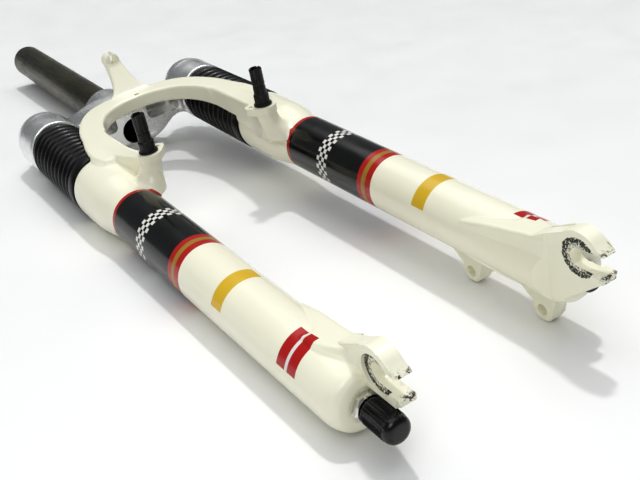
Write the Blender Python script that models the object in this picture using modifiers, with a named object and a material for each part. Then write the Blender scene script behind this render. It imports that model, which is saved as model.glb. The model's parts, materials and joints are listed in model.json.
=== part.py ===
"""A bicycle suspension fork with elastic boots, modelled piece by piece and laid on its back.

Everything is placed in the fork's own axes and hangs from one empty, which the last step rolls
and lowers so that the fork rests on the floor. In the fork's axes +X is the rider's left, +Y
runs up the legs towards the steerer, +Z is the front, and the origin is where the plane of the
leg axes meets the line of the brake studs. Sizes are in metres.
"""

import math

import bmesh
import bpy
from mathutils import Matrix, Vector

# Driving dimensions -------------------------------------------------------------------------------
WELD = 0.000004              # points closer than this are one point
GAP = 0.0003                 # between pieces that touch or slide on each other
TRAVEL = 0.050               # stroke of the lower legs along the stanchions
LEG_SPACING = 0.1207         # between the two leg axes
HUB_WIDTH = 0.100            # between the dropouts' inner faces
AXLE_Y = -0.253              # wheel axle, below the brake studs
AXLE_Z = 0.018               # wheel axle, in front of the leg axes

# Steerer and crown
STEERER_R = 0.0143
STEERER_WALL = 0.0016
STEERER_TOP = 0.425
STEERER_Z = -0.0105
CROWN_BOTTOM = 0.138
CROWN_SOCKET_TOP = 0.178
CROWN_SOCKET_R = 0.0210
CROWN_BOSS_R = 0.0193
CROWN_BOSS_TOP = 0.207
CROWN_ARM_BOTTOM = 0.146
CROWN_ARM_FRONT = 0.0085
CROWN_POCKET_DEPTH = 0.013
CROWN_FLOOR = 0.0025         # metal left between a pocket and the steerer
CROWN_HOLE_R = 0.0100        # opening under the steerer, a ledge narrower than its bore

# Stanchions and what closes their tops
STANCHION_R = 0.0140
STANCHION_WALL = 0.0016
BUMP_ROOM = 0.0185           # between a stanchion and its leg's floor at full stroke
CAP_FLANGE_R = 0.0152
CAP_FLANGE = 0.004
CAP_THREAD = 0.018
KNOB_TOP_R = 0.0095
KNOB_TOP_H = 0.007
PRELOAD_STEM_R = 0.0030
PLUNGER_H = 0.006
PILOT_H = 0.004              # stub that centres the spring's end

# Boots
BOOT_R = 0.0210
BOOT_VALLEY_R = 0.0186
BOOT_INNER_R = 0.0170
BOOT_PLEATS = 10
BOOT_CUFF = 0.008
BOOT_TOP_CUFF = 0.004

# Lower casting
LEG_TOP = 0.0575
LEG_BOTTOM = -0.245
LEG_R_BOTTOM = 0.0162
LEG_R_TOP = 0.0170
LEG_FLARE_R = 0.0206
NECK_R = 0.0186
BUSHING_WALL = 0.0007
BUSHING_LENGTH = 0.030
LOWER_BUSHING_Y = -0.080
LEG_FLOOR = 0.0165           # thickness of the closed lower end
ARCH_INNER_TOP = 0.119
ARCH_BAND = 0.016
ARCH_BACK = 0.0105
ARCH_FRONT = 0.0245
HANGER_TIP_Y = 0.157
HANGER_TIP_Z = 0.044
HANGER_THICKNESS = 0.007
CABLE_SLOT_R = 0.0020

# Brake studs
STUD_SPACING = 0.080
STUD_FACE_Z = 0.0312
STUD_R = 0.0040
STUD_COLLAR_R = 0.0048
STUD_FLANGE_R = 0.0058
STUD_LENGTH = 0.024
STUD_SHANK = 0.010
BOSS_R = 0.0082
LUG_X = -0.0072
LUG_Y = 0.0032
LUG_R = 0.0040
PIN_HOLE_R = 0.00125

# Dropouts and disc-brake tabs
DROPOUT_THICKNESS = 0.008
HOOK_R = 0.0128
AXLE_SLOT = 0.0095
HUB_SHAVE = 0.0006           # cast allowance machined off where the hub clamps
TINE_REACH = 0.0145
TAB_SPACING = 0.051
TAB_UPPER_Y = -0.1725
TAB_Z = -0.0262
TAB_R = 0.0066
TAB_HOLE_R = 0.0031
TAB_X = 0.0543
TAB_THICKNESS = 0.0087

# Springs, shafts and damper
SPRING_WIRE = 0.0032
SPRING_TURNS = 10
SPRING_PLAY = 0.0018         # between a spring's coil and the stub inside it
SHAFT_R = 0.0050
SHAFT_SHOULDER_R = 0.0078
SHOULDER_H = 0.005
SEAT_H = 0.0057
SPRING_FOOT = -0.030         # where both main springs stand
GUIDE_H = 0.012
CIRCLIP_H = 0.0015
BUMPER_H = 0.0057
CARTRIDGE_TOP = -0.045
CARTRIDGE_WALL = 0.0018
SEAL_HEAD_H = 0.008
PISTON_H = 0.010
BOTTOM_BUMPER_H = 0.012

# Feet of the legs
FOOT_FACE_R = 0.0084         # machined flat under each leg
FOOT_FACE_DEPTH = 0.0003
FOOT_BOLT_R = 0.0030
BOLT_HEAD_R = 0.0058
BOLT_HEAD_H = 0.0055
WASHER_R = 0.0076
WASHER_H = 0.0010
COLLAR_R = 0.0076
COLLAR_H = 0.0040
REBOUND_KNOB_R = 0.0064
REBOUND_KNOB_H = 0.0190
ROD_R = 0.0019
ROD_TOP = -0.130

# Worked out from the driving dimensions -----------------------------------------------------------
LEG_X = LEG_SPACING / 2
STUD_X = STUD_SPACING / 2
DROPOUT_X = HUB_WIDTH / 2
BORE_R = STANCHION_R + 2 * GAP + BUSHING_WALL
LOW_BORE_R = STANCHION_R + 2 * GAP
TUBE_IN_R = STANCHION_R - STANCHION_WALL
FIT_IN_TUBE_R = TUBE_IN_R - GAP
LEG_INSIDE = LEG_BOTTOM + LEG_FLOOR
STANCHION_BOTTOM = LEG_INSIDE + TRAVEL + BUMP_ROOM
FOOT_FACE = LEG_BOTTOM + FOOT_FACE_DEPTH
ROUND_STEPS = 28
SMALL_STEPS = 20
LEFT, RIGHT = 1, -1


# Scene and finishes -------------------------------------------------------------------------------
def clear_scene():
    for obj in list(bpy.data.objects):
        bpy.data.objects.remove(obj, do_unlink=True)
    for old in list(bpy.data.collections):
        bpy.data.collections.remove(old)


def new_collection(name):
    made = bpy.data.collections.new(name)
    bpy.context.scene.collection.children.link(made)
    return made


def finish(name, colour, roughness, metallic):
    mat = bpy.data.materials.new(name)
    mat.use_nodes = True
    shader = mat.node_tree.nodes["Principled BSDF"]
    shader.inputs["Base Color"].default_value = (*colour, 1.0)
    shader.inputs["Roughness"].default_value = roughness
    shader.inputs["Metallic"].default_value = metallic
    return mat


FINISHES = {
    "cream_paint": ((0.86, 0.83, 0.70), 0.30, 0.0),
    "polished_aluminium": ((0.80, 0.80, 0.78), 0.18, 1.0),
    "dark_steel": ((0.10, 0.10, 0.07), 0.38, 1.0),
    "tube_metal": ((0.55, 0.55, 0.54), 0.22, 1.0),
    "black_oxide": ((0.02, 0.02, 0.02), 0.35, 0.6),
    "bright_steel": ((0.78, 0.78, 0.77), 0.15, 1.0),
    "black_rubber": ((0.012, 0.012, 0.012), 0.45, 0.0),
    "black_plastic": ((0.02, 0.02, 0.02), 0.4, 0.0),
    "bush_polymer": ((0.25, 0.22, 0.16), 0.5, 0.0),
    "elastomer": ((0.75, 0.62, 0.10), 0.6, 0.0),
    "spring_steel": ((0.35, 0.36, 0.38), 0.3, 1.0),
}


def place(obj, name, material=None):
    """Names obj and hangs it from the fork's empty. Without a material it is a shaping tool."""
    obj.name = name
    obj.data.name = name
    obj.parent = fork
    for old in list(obj.users_collection):
        old.objects.unlink(obj)
    obj.hide_render = material is None
    obj.display_type = "TEXTURED" if material else "WIRE"
    if material is None:
        tools.objects.link(obj)
    else:
        parts.objects.link(obj)
        obj.data.materials.clear()
        obj.data.materials.append(bpy.data.materials[material])
    return obj


# Ways of making a solid ---------------------------------------------------------------------------
def turned(name, profile, x=0.0, z=0.0, material=None, steps=SMALL_STEPS, upright=False, y=0.0):
    """A turned solid. Its profile lists (radius, height) down the outer side from the top.

    A profile that starts and ends on the axis is a solid; any other closes on itself as a ring.
    The axis is parallel to Y through x and z, or parallel to Z through x and y when upright.
    """
    mesh = bpy.data.meshes.new(name)
    points = [(radius, 0.0, height) for radius, height in profile]
    edges = [(i, i + 1) for i in range(len(points) - 1)]
    if profile[0][0] > 0:
        edges.append((len(points) - 1, 0))
    mesh.from_pydata(points, edges, [])
    obj = bpy.data.objects.new(name, mesh)
    if upright:
        obj.location = (x, y, 0.0)
    else:
        obj.location = (x, 0.0, z)
        obj.rotation_euler = (-math.pi / 2, 0.0, 0.0)
    screw = obj.modifiers.new("turn", "SCREW")
    screw.axis = "Z"
    screw.steps = steps
    screw.render_steps = steps
    screw.use_merge_vertices = True
    screw.merge_threshold = 0.00001
    screw.use_smooth_shade = True
    return place(obj, name, material)


def sleeve(name, outer, inner, bottom, top, **where):
    return turned(name, [(outer, top), (outer, bottom), (inner, bottom), (inner, top)], **where)


def rod(name, radius, bottom, top, **where):
    return turned(name, [(0, top), (radius, top), (radius, bottom), (0, bottom)], **where)


def filleted(corners, segments=4):
    """A closed outline from (x, y, fillet radius) corners, with each fillet as an arc of points."""
    outline = []
    for i, (x, y, radius) in enumerate(corners):
        here = Vector((x, y))
        before = Vector(corners[i - 1][:2]) - here
        after = Vector(corners[(i + 1) % len(corners)][:2]) - here
        if radius == 0:
            outline.append((x, y))
            continue
        half = before.angle(after) / 2
        reach = min(radius / math.tan(half), 0.49 * before.length, 0.49 * after.length)
        radius = reach * math.tan(half)
        start = here + before.normalized() * reach
        end = here + after.normalized() * reach
        bisector = (before.normalized() + after.normalized()).normalized()
        centre = here + bisector * (radius / math.sin(half))
        a, b = start - centre, end - centre
        sweep = a.angle_signed(b)
        for step in range(segments + 1):
            turn = Matrix.Rotation(-sweep * step / segments, 2)
            outline.append(tuple(centre + turn @ a))
    return outline


def arc(cx, cy, radius, start, end, segments):
    """Points on an arc, from start to end in degrees."""
    span = [math.radians(start + (end - start) * i / segments) for i in range(segments + 1)]
    return [(cx + radius * math.cos(t), cy + radius * math.sin(t)) for t in span]


def plate(name, outline, middle, thickness, plane="XY", material=None):
    """A flat solid from an outline. In plane XY its middle is a height, in YZ it is an x."""
    curve = bpy.data.curves.new(name, "CURVE")
    curve.dimensions = "2D"
    curve.fill_mode = "BOTH"
    curve.extrude = thickness / 2
    spline = curve.splines.new("POLY")
    spline.points.add(len(outline) - 1)
    for point, (u, v) in zip(spline.points, outline):
        point.co = (u, v, 0.0, 1.0)
    spline.use_cyclic_u = True
    flat = bpy.data.objects.new(name + "_outline", curve)
    bpy.context.scene.collection.objects.link(flat)
    if plane == "XY":
        flat.matrix_world = Matrix.Translation((0, 0, middle))
    else:
        turn = Matrix.Rotation(math.pi / 2, 4, "Z") @ Matrix.Rotation(math.pi / 2, 4, "X")
        flat.matrix_world = Matrix.Translation((middle, 0, 0)) @ turn
    bpy.context.view_layer.update()
    seen = flat.evaluated_get(bpy.context.evaluated_depsgraph_get())
    mesh = bpy.data.meshes.new_from_object(seen)
    work = bmesh.new()
    work.from_mesh(mesh)
    bmesh.ops.remove_doubles(work, verts=work.verts, dist=0.000001)
    bmesh.ops.recalc_face_normals(work, faces=work.faces)
    work.to_mesh(mesh)
    work.free()
    obj = bpy.data.objects.new(name, mesh)
    obj.matrix_world = flat.matrix_world
    bpy.data.objects.remove(flat, do_unlink=True)
    bpy.data.curves.remove(curve)
    return place(obj, name, material)


def loft(name, sections, material=None):
    """A solid skinned over rings of points that all have the same number of points."""
    work = bmesh.new()
    rings = [[work.verts.new(point) for point in section] for section in sections]
    count = len(rings[0])
    for low, high in zip(rings, rings[1:]):
        for i in range(count):
            j = (i + 1) % count
            work.faces.new((low[i], low[j], high[j], high[i]))
    work.faces.new(list(reversed(rings[0])))
    work.faces.new(rings[-1])
    bmesh.ops.recalc_face_normals(work, faces=work.faces)
    mesh = bpy.data.meshes.new(name)
    work.to_mesh(mesh)
    work.free()
    return place(bpy.data.objects.new(name, mesh), name, material)


def rounded_ring(low, high, across, station, axis, segments=3):
    """A rectangle with round corners, low to high in its own plane, as a ring for a loft."""
    (u0, v0), (u1, v1) = low, high
    corners = [(u0, v0, across), (u1, v0, across), (u1, v1, across), (u0, v1, across)]
    flat = filleted(corners, segments)
    if axis == "X":
        return [(station, u, v) for u, v in flat]
    if axis == "Y":
        return [(u, station, v) for u, v in flat]
    return [(u, v, station) for u, v in flat]


def shape_with(target, others, operation):
    """Joins or cuts target with the other solids one at a time, which are used up."""
    for other in others:
        boolean = target.modifiers.new(other.name, "BOOLEAN")
        boolean.object = other
        boolean.operation = operation
        boolean.solver = "EXACT"
        bpy.context.view_layer.update()
        seen = target.evaluated_get(bpy.context.evaluated_depsgraph_get())
        mesh = bpy.data.meshes.new_from_object(seen)
        target.modifiers.clear()
        work = bmesh.new()
        work.from_mesh(mesh)
        bmesh.ops.triangulate(work, faces=work.faces)
        bmesh.ops.remove_doubles(work, verts=work.verts, dist=WELD)
        bmesh.ops.dissolve_degenerate(work, edges=work.edges, dist=WELD)
        work.to_mesh(mesh)
        work.free()
        target.data = mesh
        mesh.name = target.name
        bpy.data.objects.remove(other, do_unlink=True)
    return target


def side_name(base, side):
    return base + ("_left" if side == LEFT else "_right")


# Steerer and crown --------------------------------------------------------------------------------
def make_steerer():
    bottom = CROWN_ARM_BOTTOM + CROWN_POCKET_DEPTH + CROWN_FLOOR
    sleeve("steerer_tube", STEERER_R, STEERER_R - STEERER_WALL, bottom, STEERER_TOP,
           z=STEERER_Z, material="dark_steel", steps=ROUND_STEPS)
    return bottom


def make_crown(steerer_bottom):
    """Two leg sockets joined to the steerer boss by arms that are hollow underneath."""
    crown = rod("fork_crown", CROWN_BOSS_R, CROWN_ARM_BOTTOM + 0.004, CROWN_BOSS_TOP,
                z=STEERER_Z, material="polished_aluminium", steps=ROUND_STEPS)
    joins, cuts = [], []
    mid_z = CROWN_ARM_FRONT - 0.0095
    reach = LEG_X + 0.002
    stations = [  # how far out, bottom, top, back, front
        (0.000, CROWN_ARM_BOTTOM, CROWN_BOSS_TOP - 0.012, STEERER_Z - 0.011, CROWN_ARM_FRONT),
        (0.018, CROWN_ARM_BOTTOM, CROWN_BOSS_TOP - 0.016, mid_z - 0.016, CROWN_ARM_FRONT),
        (0.034, CROWN_ARM_BOTTOM - 0.001, CROWN_SOCKET_TOP + 0.002, mid_z - 0.012,
         CROWN_ARM_FRONT),
        (0.046, CROWN_BOTTOM + 0.004, CROWN_SOCKET_TOP - 0.006, mid_z - 0.011,
         CROWN_ARM_FRONT + 0.001),
        (reach, CROWN_BOTTOM + 0.002, CROWN_SOCKET_TOP - 0.010, mid_z - 0.011,
         CROWN_ARM_FRONT + 0.002)]
    both = [(-out, *rest) for out, *rest in stations[:0:-1]] + stations
    joins.append(loft("crown_beam", [rounded_ring((low, back), (high, front), 0.005, x, "X")
                                     for x, low, high, back, front in both]))
    for side in (LEFT, RIGHT):
        dome = [(CROWN_SOCKET_R, CROWN_SOCKET_TOP - 0.014), (0.0202, CROWN_SOCKET_TOP - 0.0085),
                (0.0183, CROWN_SOCKET_TOP - 0.0035), (0.0160, CROWN_SOCKET_TOP)]
        profile = [(0, CROWN_SOCKET_TOP)] + dome[::-1]
        profile += [(CROWN_SOCKET_R, CROWN_BOTTOM), (0, CROWN_BOTTOM)]
        joins.append(turned(side_name("socket", side), profile, x=side * LEG_X,
                            steps=ROUND_STEPS))
        inner, outer = CROWN_HOLE_R + 0.0025, LEG_X - CROWN_SOCKET_R - 0.002
        pocket = filleted([(side * inner, mid_z - 0.0050, 0.004), (side * outer, mid_z - 0.0050, 0.005),
                           (side * outer, CROWN_ARM_FRONT - 0.0030, 0.005),
                           (side * inner, CROWN_ARM_FRONT - 0.0030, 0.004)])
        low, high = CROWN_BOTTOM - 0.004, CROWN_ARM_BOTTOM + CROWN_POCKET_DEPTH
        cuts.append(loft(side_name("pocket", side),
                         [[(u, station, v) for u, v in pocket] for station in (low, high)]))
        cuts.append(rod(side_name("stanchion_bore", side), STANCHION_R + GAP,
                        CROWN_BOTTOM - 0.01, CROWN_SOCKET_TOP + 0.01, x=side * LEG_X,
                        steps=ROUND_STEPS))
    cuts.append(rod("steerer_bore", STEERER_R + GAP, steerer_bottom - GAP, CROWN_BOSS_TOP + 0.01,
                    z=STEERER_Z, steps=ROUND_STEPS))
    cuts.append(rod("crown_hole", CROWN_HOLE_R, CROWN_BOTTOM - 0.01, steerer_bottom + GAP,
                    z=STEERER_Z, steps=ROUND_STEPS))
    shape_with(crown, joins, "UNION")
    shape_with(crown, cuts, "DIFFERENCE")


# Stanchions, caps and main springs ----------------------------------------------------------------
def make_stanchion_side(side):
    x = side * LEG_X
    top = CROWN_SOCKET_TOP
    sleeve(side_name("stanchion", side), STANCHION_R, TUBE_IN_R, STANCHION_BOTTOM, top,
           x=x, material="tube_metal", steps=ROUND_STEPS)
    stem_hole = PRELOAD_STEM_R + GAP
    cap_top = top + GAP + CAP_FLANGE
    turned(side_name("top_cap", side),
           [(CAP_FLANGE_R - 0.001, cap_top), (CAP_FLANGE_R, cap_top - 0.001),
            (CAP_FLANGE_R, top + GAP), (FIT_IN_TUBE_R, top + GAP),
            (FIT_IN_TUBE_R, top - CAP_THREAD), (stem_hole, top - CAP_THREAD), (stem_hole, cap_top)],
           x=x, material="bright_steel", steps=ROUND_STEPS)
    knob_bottom = cap_top + GAP
    knob_top = knob_bottom + KNOB_TOP_H
    stem_end = top - CAP_THREAD - 0.003
    turned(side_name("preload_knob", side),
           [(0, knob_top), (KNOB_TOP_R - 0.0012, knob_top), (KNOB_TOP_R, knob_top - 0.0012),
            (KNOB_TOP_R, knob_bottom), (PRELOAD_STEM_R, knob_bottom), (PRELOAD_STEM_R, stem_end),
            (0, stem_end)], x=x, material="black_plastic")
    pilot_r = FIT_IN_TUBE_R - SPRING_WIRE - SPRING_PLAY
    plunger_top = stem_end - GAP
    plunger_foot = plunger_top - PLUNGER_H
    turned(side_name("preload_plunger", side),
           [(0, plunger_top), (FIT_IN_TUBE_R, plunger_top), (FIT_IN_TUBE_R, plunger_foot),
            (pilot_r, plunger_foot), (pilot_r, plunger_foot - PILOT_H), (0, plunger_foot - PILOT_H)],
           x=x, material="black_plastic")
    spring_top = plunger_foot - GAP
    make_spring(side_name("main_spring", side), x, SPRING_FOOT, spring_top)


def make_spring(name, x, bottom, top):
    """A coil spring with one closed turn at each end."""
    per_turn = 8
    coil_r = FIT_IN_TUBE_R - SPRING_WIRE / 2
    low, high = bottom + SPRING_WIRE / 2, top - SPRING_WIRE / 2
    closed = SPRING_WIRE * 1.12
    open_pitch = (high - low - 2 * closed) / (SPRING_TURNS - 2)
    curve = bpy.data.curves.new(name, "CURVE")
    curve.dimensions = "3D"
    curve.bevel_depth = SPRING_WIRE / 2
    curve.bevel_resolution = 1
    curve.use_fill_caps = True
    spline = curve.splines.new("POLY")
    count = SPRING_TURNS * per_turn + 1
    spline.points.add(count - 1)
    for i in range(count):
        turn = i / per_turn
        rise = min(turn, 1) * closed
        rise += min(max(turn - 1, 0), SPRING_TURNS - 2) * open_pitch
        rise += max(turn - (SPRING_TURNS - 1), 0) * closed
        angle = 2 * math.pi * turn
        spline.points[i].co = (x + coil_r * math.cos(angle), low + rise,
                               coil_r * math.sin(angle), 1.0)
    place(bpy.data.objects.new(name, curve), name, "spring_steel")


def make_boot(side):
    """A pleated sleeve from the casting's neck to just under the crown."""
    foot = LEG_TOP - BOOT_CUFF + GAP
    head = CROWN_BOTTOM - GAP
    pleats_from = foot + BOOT_CUFF + 0.001
    pleats_to = head - BOOT_TOP_CUFF
    pitch = (pleats_to - pleats_from) / BOOT_PLEATS
    outer = [(STANCHION_R + 0.0030, head), (STANCHION_R + 0.0030, pleats_to)]
    for i in range(BOOT_PLEATS):
        outer.append((BOOT_R, pleats_to - (i + 0.5) * pitch))
        outer.append((BOOT_VALLEY_R, pleats_to - (i + 1) * pitch))
    cuff_in = NECK_R + GAP
    outer += [(cuff_in + 0.0018, foot + BOOT_CUFF), (cuff_in + 0.0018, foot), (cuff_in, foot)]
    inner = [(cuff_in, LEG_TOP + GAP), (BOOT_INNER_R, LEG_TOP + GAP + 0.001),
             (BOOT_INNER_R, pleats_to - 0.002), (STANCHION_R + GAP, pleats_to),
             (STANCHION_R + GAP, head)]
    turned(side_name("boot", side), outer + inner, x=side * LEG_X, material="black_rubber",
           steps=24)


# Lower casting ------------------------------------------------------------------------------------
def leg_profile():
    return [(0, LEG_TOP), (NECK_R, LEG_TOP), (NECK_R, LEG_TOP - BOOT_CUFF - 0.0005),
            (LEG_FLARE_R - 0.0006, LEG_TOP - BOOT_CUFF - 0.002), (LEG_FLARE_R, 0.040),
            (LEG_FLARE_R, 0.027), (LEG_FLARE_R - 0.0010, 0.012), (LEG_R_TOP + 0.0012, 0.001),
            (LEG_R_TOP, -0.008), (LEG_R_BOTTOM, LEG_BOTTOM + 0.011),
            (LEG_R_BOTTOM - 0.0012, LEG_BOTTOM + 0.0055),
            (LEG_R_BOTTOM - 0.0042, LEG_BOTTOM + 0.0015), (0.0090, LEG_BOTTOM), (0, LEG_BOTTOM)]


def arch_outline():
    """The arch seen from the front, feet included, as a closed outline."""
    inner_top, outer_top = ARCH_INNER_TOP, ARCH_INNER_TOP + ARCH_BAND
    half_in = LEG_X - LEG_FLARE_R + 0.0007
    outer = [(0.022, outer_top - 0.001), (0.033, outer_top - 0.007), (0.0415, outer_top - 0.0165),
             (0.0485, outer_top - 0.028), (0.0535, outer_top - 0.043),
             (0.0575, outer_top - 0.057), (LEG_X + 0.003, 0.060), (LEG_X + 0.003, 0.035)]
    inner = [(half_in, 0.035), (half_in, inner_top - 0.038), (half_in - 0.0035, inner_top - 0.024),
             (half_in - 0.0100, inner_top - 0.0125), (half_in - 0.0190, inner_top - 0.0045),
             (0.008, inner_top)]
    half = outer + inner
    return half + [(-x, y) for x, y in reversed(half)]


def hanger_rings():
    """The cable hanger leans forward from the top of the arch to its slotted tip."""
    foot_y, foot_z = ARCH_INNER_TOP + ARCH_BAND - 0.006, ARCH_BACK + 0.007
    run = Vector((HANGER_TIP_Y - foot_y, HANGER_TIP_Z - foot_z)).normalized()
    across = Vector((run.y, -run.x)) * (HANGER_THICKNESS / 2)
    rings = []
    for share, half_width in ((0.0, 0.0190), (0.22, 0.0120), (0.5, 0.0078), (0.8, 0.0062), (1.0, 0.0066)):
        y = foot_y + (HANGER_TIP_Y - foot_y) * share
        z = foot_z + (HANGER_TIP_Z - foot_z) * share
        rings.append([(-half_width, y - across.x, z - across.y), (half_width, y - across.x, z - across.y),
                      (half_width, y + across.x, z + across.y), (-half_width, y + across.x, z + across.y)])
    return rings


def lug_outline(side):
    """The flat top of a brake boss: a round seat with a small ear for the spring pin."""
    apart = Vector((LUG_X, LUG_Y))
    lean = math.atan2(apart.y, apart.x)
    spread = math.acos((BOSS_R - LUG_R) / apart.length)
    points = []
    for i in range(11):
        t = lean + spread + (2 * math.pi - 2 * spread) * i / 10
        points.append((BOSS_R * math.cos(t), BOSS_R * math.sin(t)))
    for i in range(7):
        t = lean - spread + 2 * spread * i / 6
        points.append((LUG_X + LUG_R * math.cos(t), LUG_Y + LUG_R * math.sin(t)))
    return [(side * (STUD_X + x), y) for x, y in points]


def boss_pedestal(side):
    """Blends the boss down into the front of the leg."""
    rings = []
    steps = ((STUD_FACE_Z - 0.0035, 0.0, BOSS_R - 0.0008), (STUD_FACE_Z - 0.0080, 0.0008, 0.0072),
             (STUD_FACE_Z - 0.0150, 0.0030, 0.0078), (STUD_FACE_Z - 0.0240, 0.0060, 0.0100))
    for z, lean, radius in steps:
        ring = arc(side * (STUD_X + lean), 0.0, radius, 0, 337.5, 15)
        rings.append([(x, y, z) for x, y in ring])
    return loft(side_name("boss_pedestal", side), rings)


def dropout_outline():
    """The dropout in the plane of Y and Z: a hook over the axle slot and a thin lower tine."""
    half = AXLE_SLOT / 2
    end = AXLE_Y - TINE_REACH
    hook_front = math.degrees(math.asin(half / HOOK_R))
    hook = arc(AXLE_Y, AXLE_Z, HOOK_R, 55, 180 - hook_front - 9, 8)
    slot = arc(AXLE_Y, AXLE_Z, half, 90, -90, 8)
    low_tine = [(end, AXLE_Z - half), (end + 0.0005, AXLE_Z - half - 0.0033),
                (end + 0.0035, AXLE_Z - half - 0.0050)]
    root = AXLE_Y + 0.031
    return ([(root, AXLE_Z - 0.0015)] + hook + [(end, AXLE_Z + half)] + slot + low_tine
            + [(AXLE_Y + 0.0145, -0.0120), (AXLE_Y + 0.0200, -0.0128), (root, -0.0125)])


def dropout_web(side):
    """Carries the leg across to the dropout plate, with its front edge drawn out into a ridge."""
    inner = DROPOUT_X
    rings = []
    stations = ((0.083, inner - 0.0030, inner + 0.0120, -0.0085, 0.0080),
                (0.055, inner - 0.0030, inner + 0.0165, -0.0115, 0.0145),
                (0.033, inner - 0.0010, inner + 0.0140, -0.0125, 0.0172),
                (0.017, inner - 0.0009, inner + DROPOUT_THICKNESS - 0.0004, -0.0121, 0.0210))
    for rise, low_x, high_x, back, front in stations:
        ring = rounded_ring((low_x, back), (high_x, front), 0.0035, AXLE_Y + rise, "Y")
        rings.append([(side * x, y, z) for x, y, z in ring])
    return loft(side_name("dropout_web", side), rings)


def tab_outline(hole_y):
    """A disc-brake tab that slopes down from the back of the leg and rounds its hole."""
    round_end = arc(hole_y, TAB_Z, TAB_R, 215 - 180, -160, 9)
    top = -0.0080
    return [(hole_y + 0.0240, top)] + round_end + [(hole_y - 0.0115, top)]


def make_leg(side):
    """One leg with its dropout, shaved flat where the hub's end stands."""
    leg = turned(side_name("leg", side), leg_profile(), x=side * LEG_X, steps=ROUND_STEPS)
    middle = DROPOUT_X + (DROPOUT_THICKNESS - HUB_SHAVE) / 2
    hook = plate(side_name("dropout", side), dropout_outline(), side * middle,
                 DROPOUT_THICKNESS + HUB_SHAVE, "YZ")
    shape_with(leg, [dropout_web(side), hook], "UNION")
    bottom, top = AXLE_Y - 0.030, LEG_INSIDE - 0.0005
    shave = [(DROPOUT_X, bottom), (DROPOUT_X, top - 0.0060), (DROPOUT_X - 0.0060, top),
             (0.030, top + 0.0005), (0.030, bottom)]
    space = plate(side_name("hub_space", side), [(side * u, v) for u, v in shave], 0.0, 0.10)
    return shape_with(leg, [space], "DIFFERENCE")


def boss_rib(side):
    """Runs from the foot of the arch down to the brake boss."""
    inner = LEG_X - LEG_FLARE_R + 0.0015
    rib = [(0.072, inner, LEG_X - 0.0045, ARCH_BACK + 0.0023, ARCH_FRONT - 0.0016),
           (0.040, inner, LEG_X - 0.0052, 0.0050, ARCH_FRONT - 0.0006),
           (0.014, STUD_X - 0.0035, STUD_X + 0.0090, 0.0050, ARCH_FRONT + 0.0030),
           (0.001, STUD_X - 0.0050, STUD_X + 0.0050, 0.0050, STUD_FACE_Z - 0.0020)]
    rings = []
    for y, low_x, high_x, back, front in rib:
        ring = rounded_ring((low_x, back), (high_x, front), 0.0030, y, "Y")
        rings.append([(side * x, v, z) for x, v, z in ring])
    return loft(side_name("boss_rib", side), rings)


def make_arch():
    """The arch with its hanger and ribs, cleared for the boots."""
    arch = plate("arch", arch_outline(), (ARCH_BACK + ARCH_FRONT) / 2, ARCH_FRONT - ARCH_BACK)
    shape_with(arch, [loft("hanger", hanger_rings()), boss_rib(LEFT), boss_rib(RIGHT)], "UNION")
    clear = [rod(side_name("boot_recess", side), BOOT_R + 0.0010, LEG_TOP - BOOT_CUFF - 0.0010,
                 CROWN_SOCKET_TOP, x=side * LEG_X, steps=ROUND_STEPS) for side in (LEFT, RIGHT)]
    slot = rod("cable_slot", CABLE_SLOT_R, -0.02, 0.02, steps=12)
    slot.location = (0, HANGER_TIP_Y - 0.002, HANGER_TIP_Z)
    slot.rotation_euler = (math.radians(40), 0, 0)
    return shape_with(arch, clear + [slot], "DIFFERENCE")


def leg_cuts(side):
    x = side * LEG_X
    bore = [(0, LEG_TOP + 0.010), (BORE_R, LEG_TOP + 0.010),
            (BORE_R, LOWER_BUSHING_Y - BUSHING_LENGTH / 2 - GAP),
            (LOW_BORE_R, LOWER_BUSHING_Y - BUSHING_LENGTH / 2 - GAP - 0.001),
            (LOW_BORE_R, LEG_INSIDE), (0, LEG_INSIDE)]
    foot_hole = FOOT_BOLT_R + GAP if side == LEFT else SHAFT_R + GAP
    return [turned(side_name("leg_bore", side), bore, x=x, steps=ROUND_STEPS),
            rod(side_name("spot_face", side), FOOT_FACE_R, LEG_BOTTOM - 0.05, FOOT_FACE, x=x,
                steps=ROUND_STEPS),
            rod(side_name("foot_hole", side), foot_hole, LEG_BOTTOM - 0.01,
                LEG_INSIDE + 0.01, x=x),
            rod(side_name("stud_hole", side), STUD_R + GAP, STUD_FACE_Z - STUD_SHANK - GAP,
                STUD_FACE_Z + 0.01, x=side * STUD_X, upright=True),
            rod(side_name("pin_hole", side), PIN_HOLE_R, STUD_FACE_Z - 0.0060,
                STUD_FACE_Z + 0.01, x=side * (STUD_X + LUG_X), y=LUG_Y, upright=True, steps=12)]


def make_casting():
    casting = place(make_leg(LEFT), "lower_casting", "cream_paint")
    joins, cuts = [make_leg(RIGHT), make_arch()], []
    for side in (LEFT, RIGHT):
        joins.append(plate(side_name("boss_seat", side), lug_outline(side),
                           STUD_FACE_Z - 0.0022, 0.0044))
        joins.append(boss_pedestal(side))
        cuts += leg_cuts(side)
    middle = TAB_X + TAB_THICKNESS / 2
    for i, hole_y in enumerate((TAB_UPPER_Y, TAB_UPPER_Y - TAB_SPACING)):
        joins.append(plate("disc_tab_%d" % i, tab_outline(hole_y), middle, TAB_THICKNESS, "YZ"))
        hole = rod("tab_hole_%d" % i, TAB_HOLE_R, -0.02, 0.02, steps=16)
        hole.location = (middle, hole_y, TAB_Z)
        hole.rotation_euler = (0, math.pi / 2, 0)
        cuts.append(hole)
    shape_with(casting, joins, "UNION")
    shape_with(casting, cuts, "DIFFERENCE")


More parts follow.
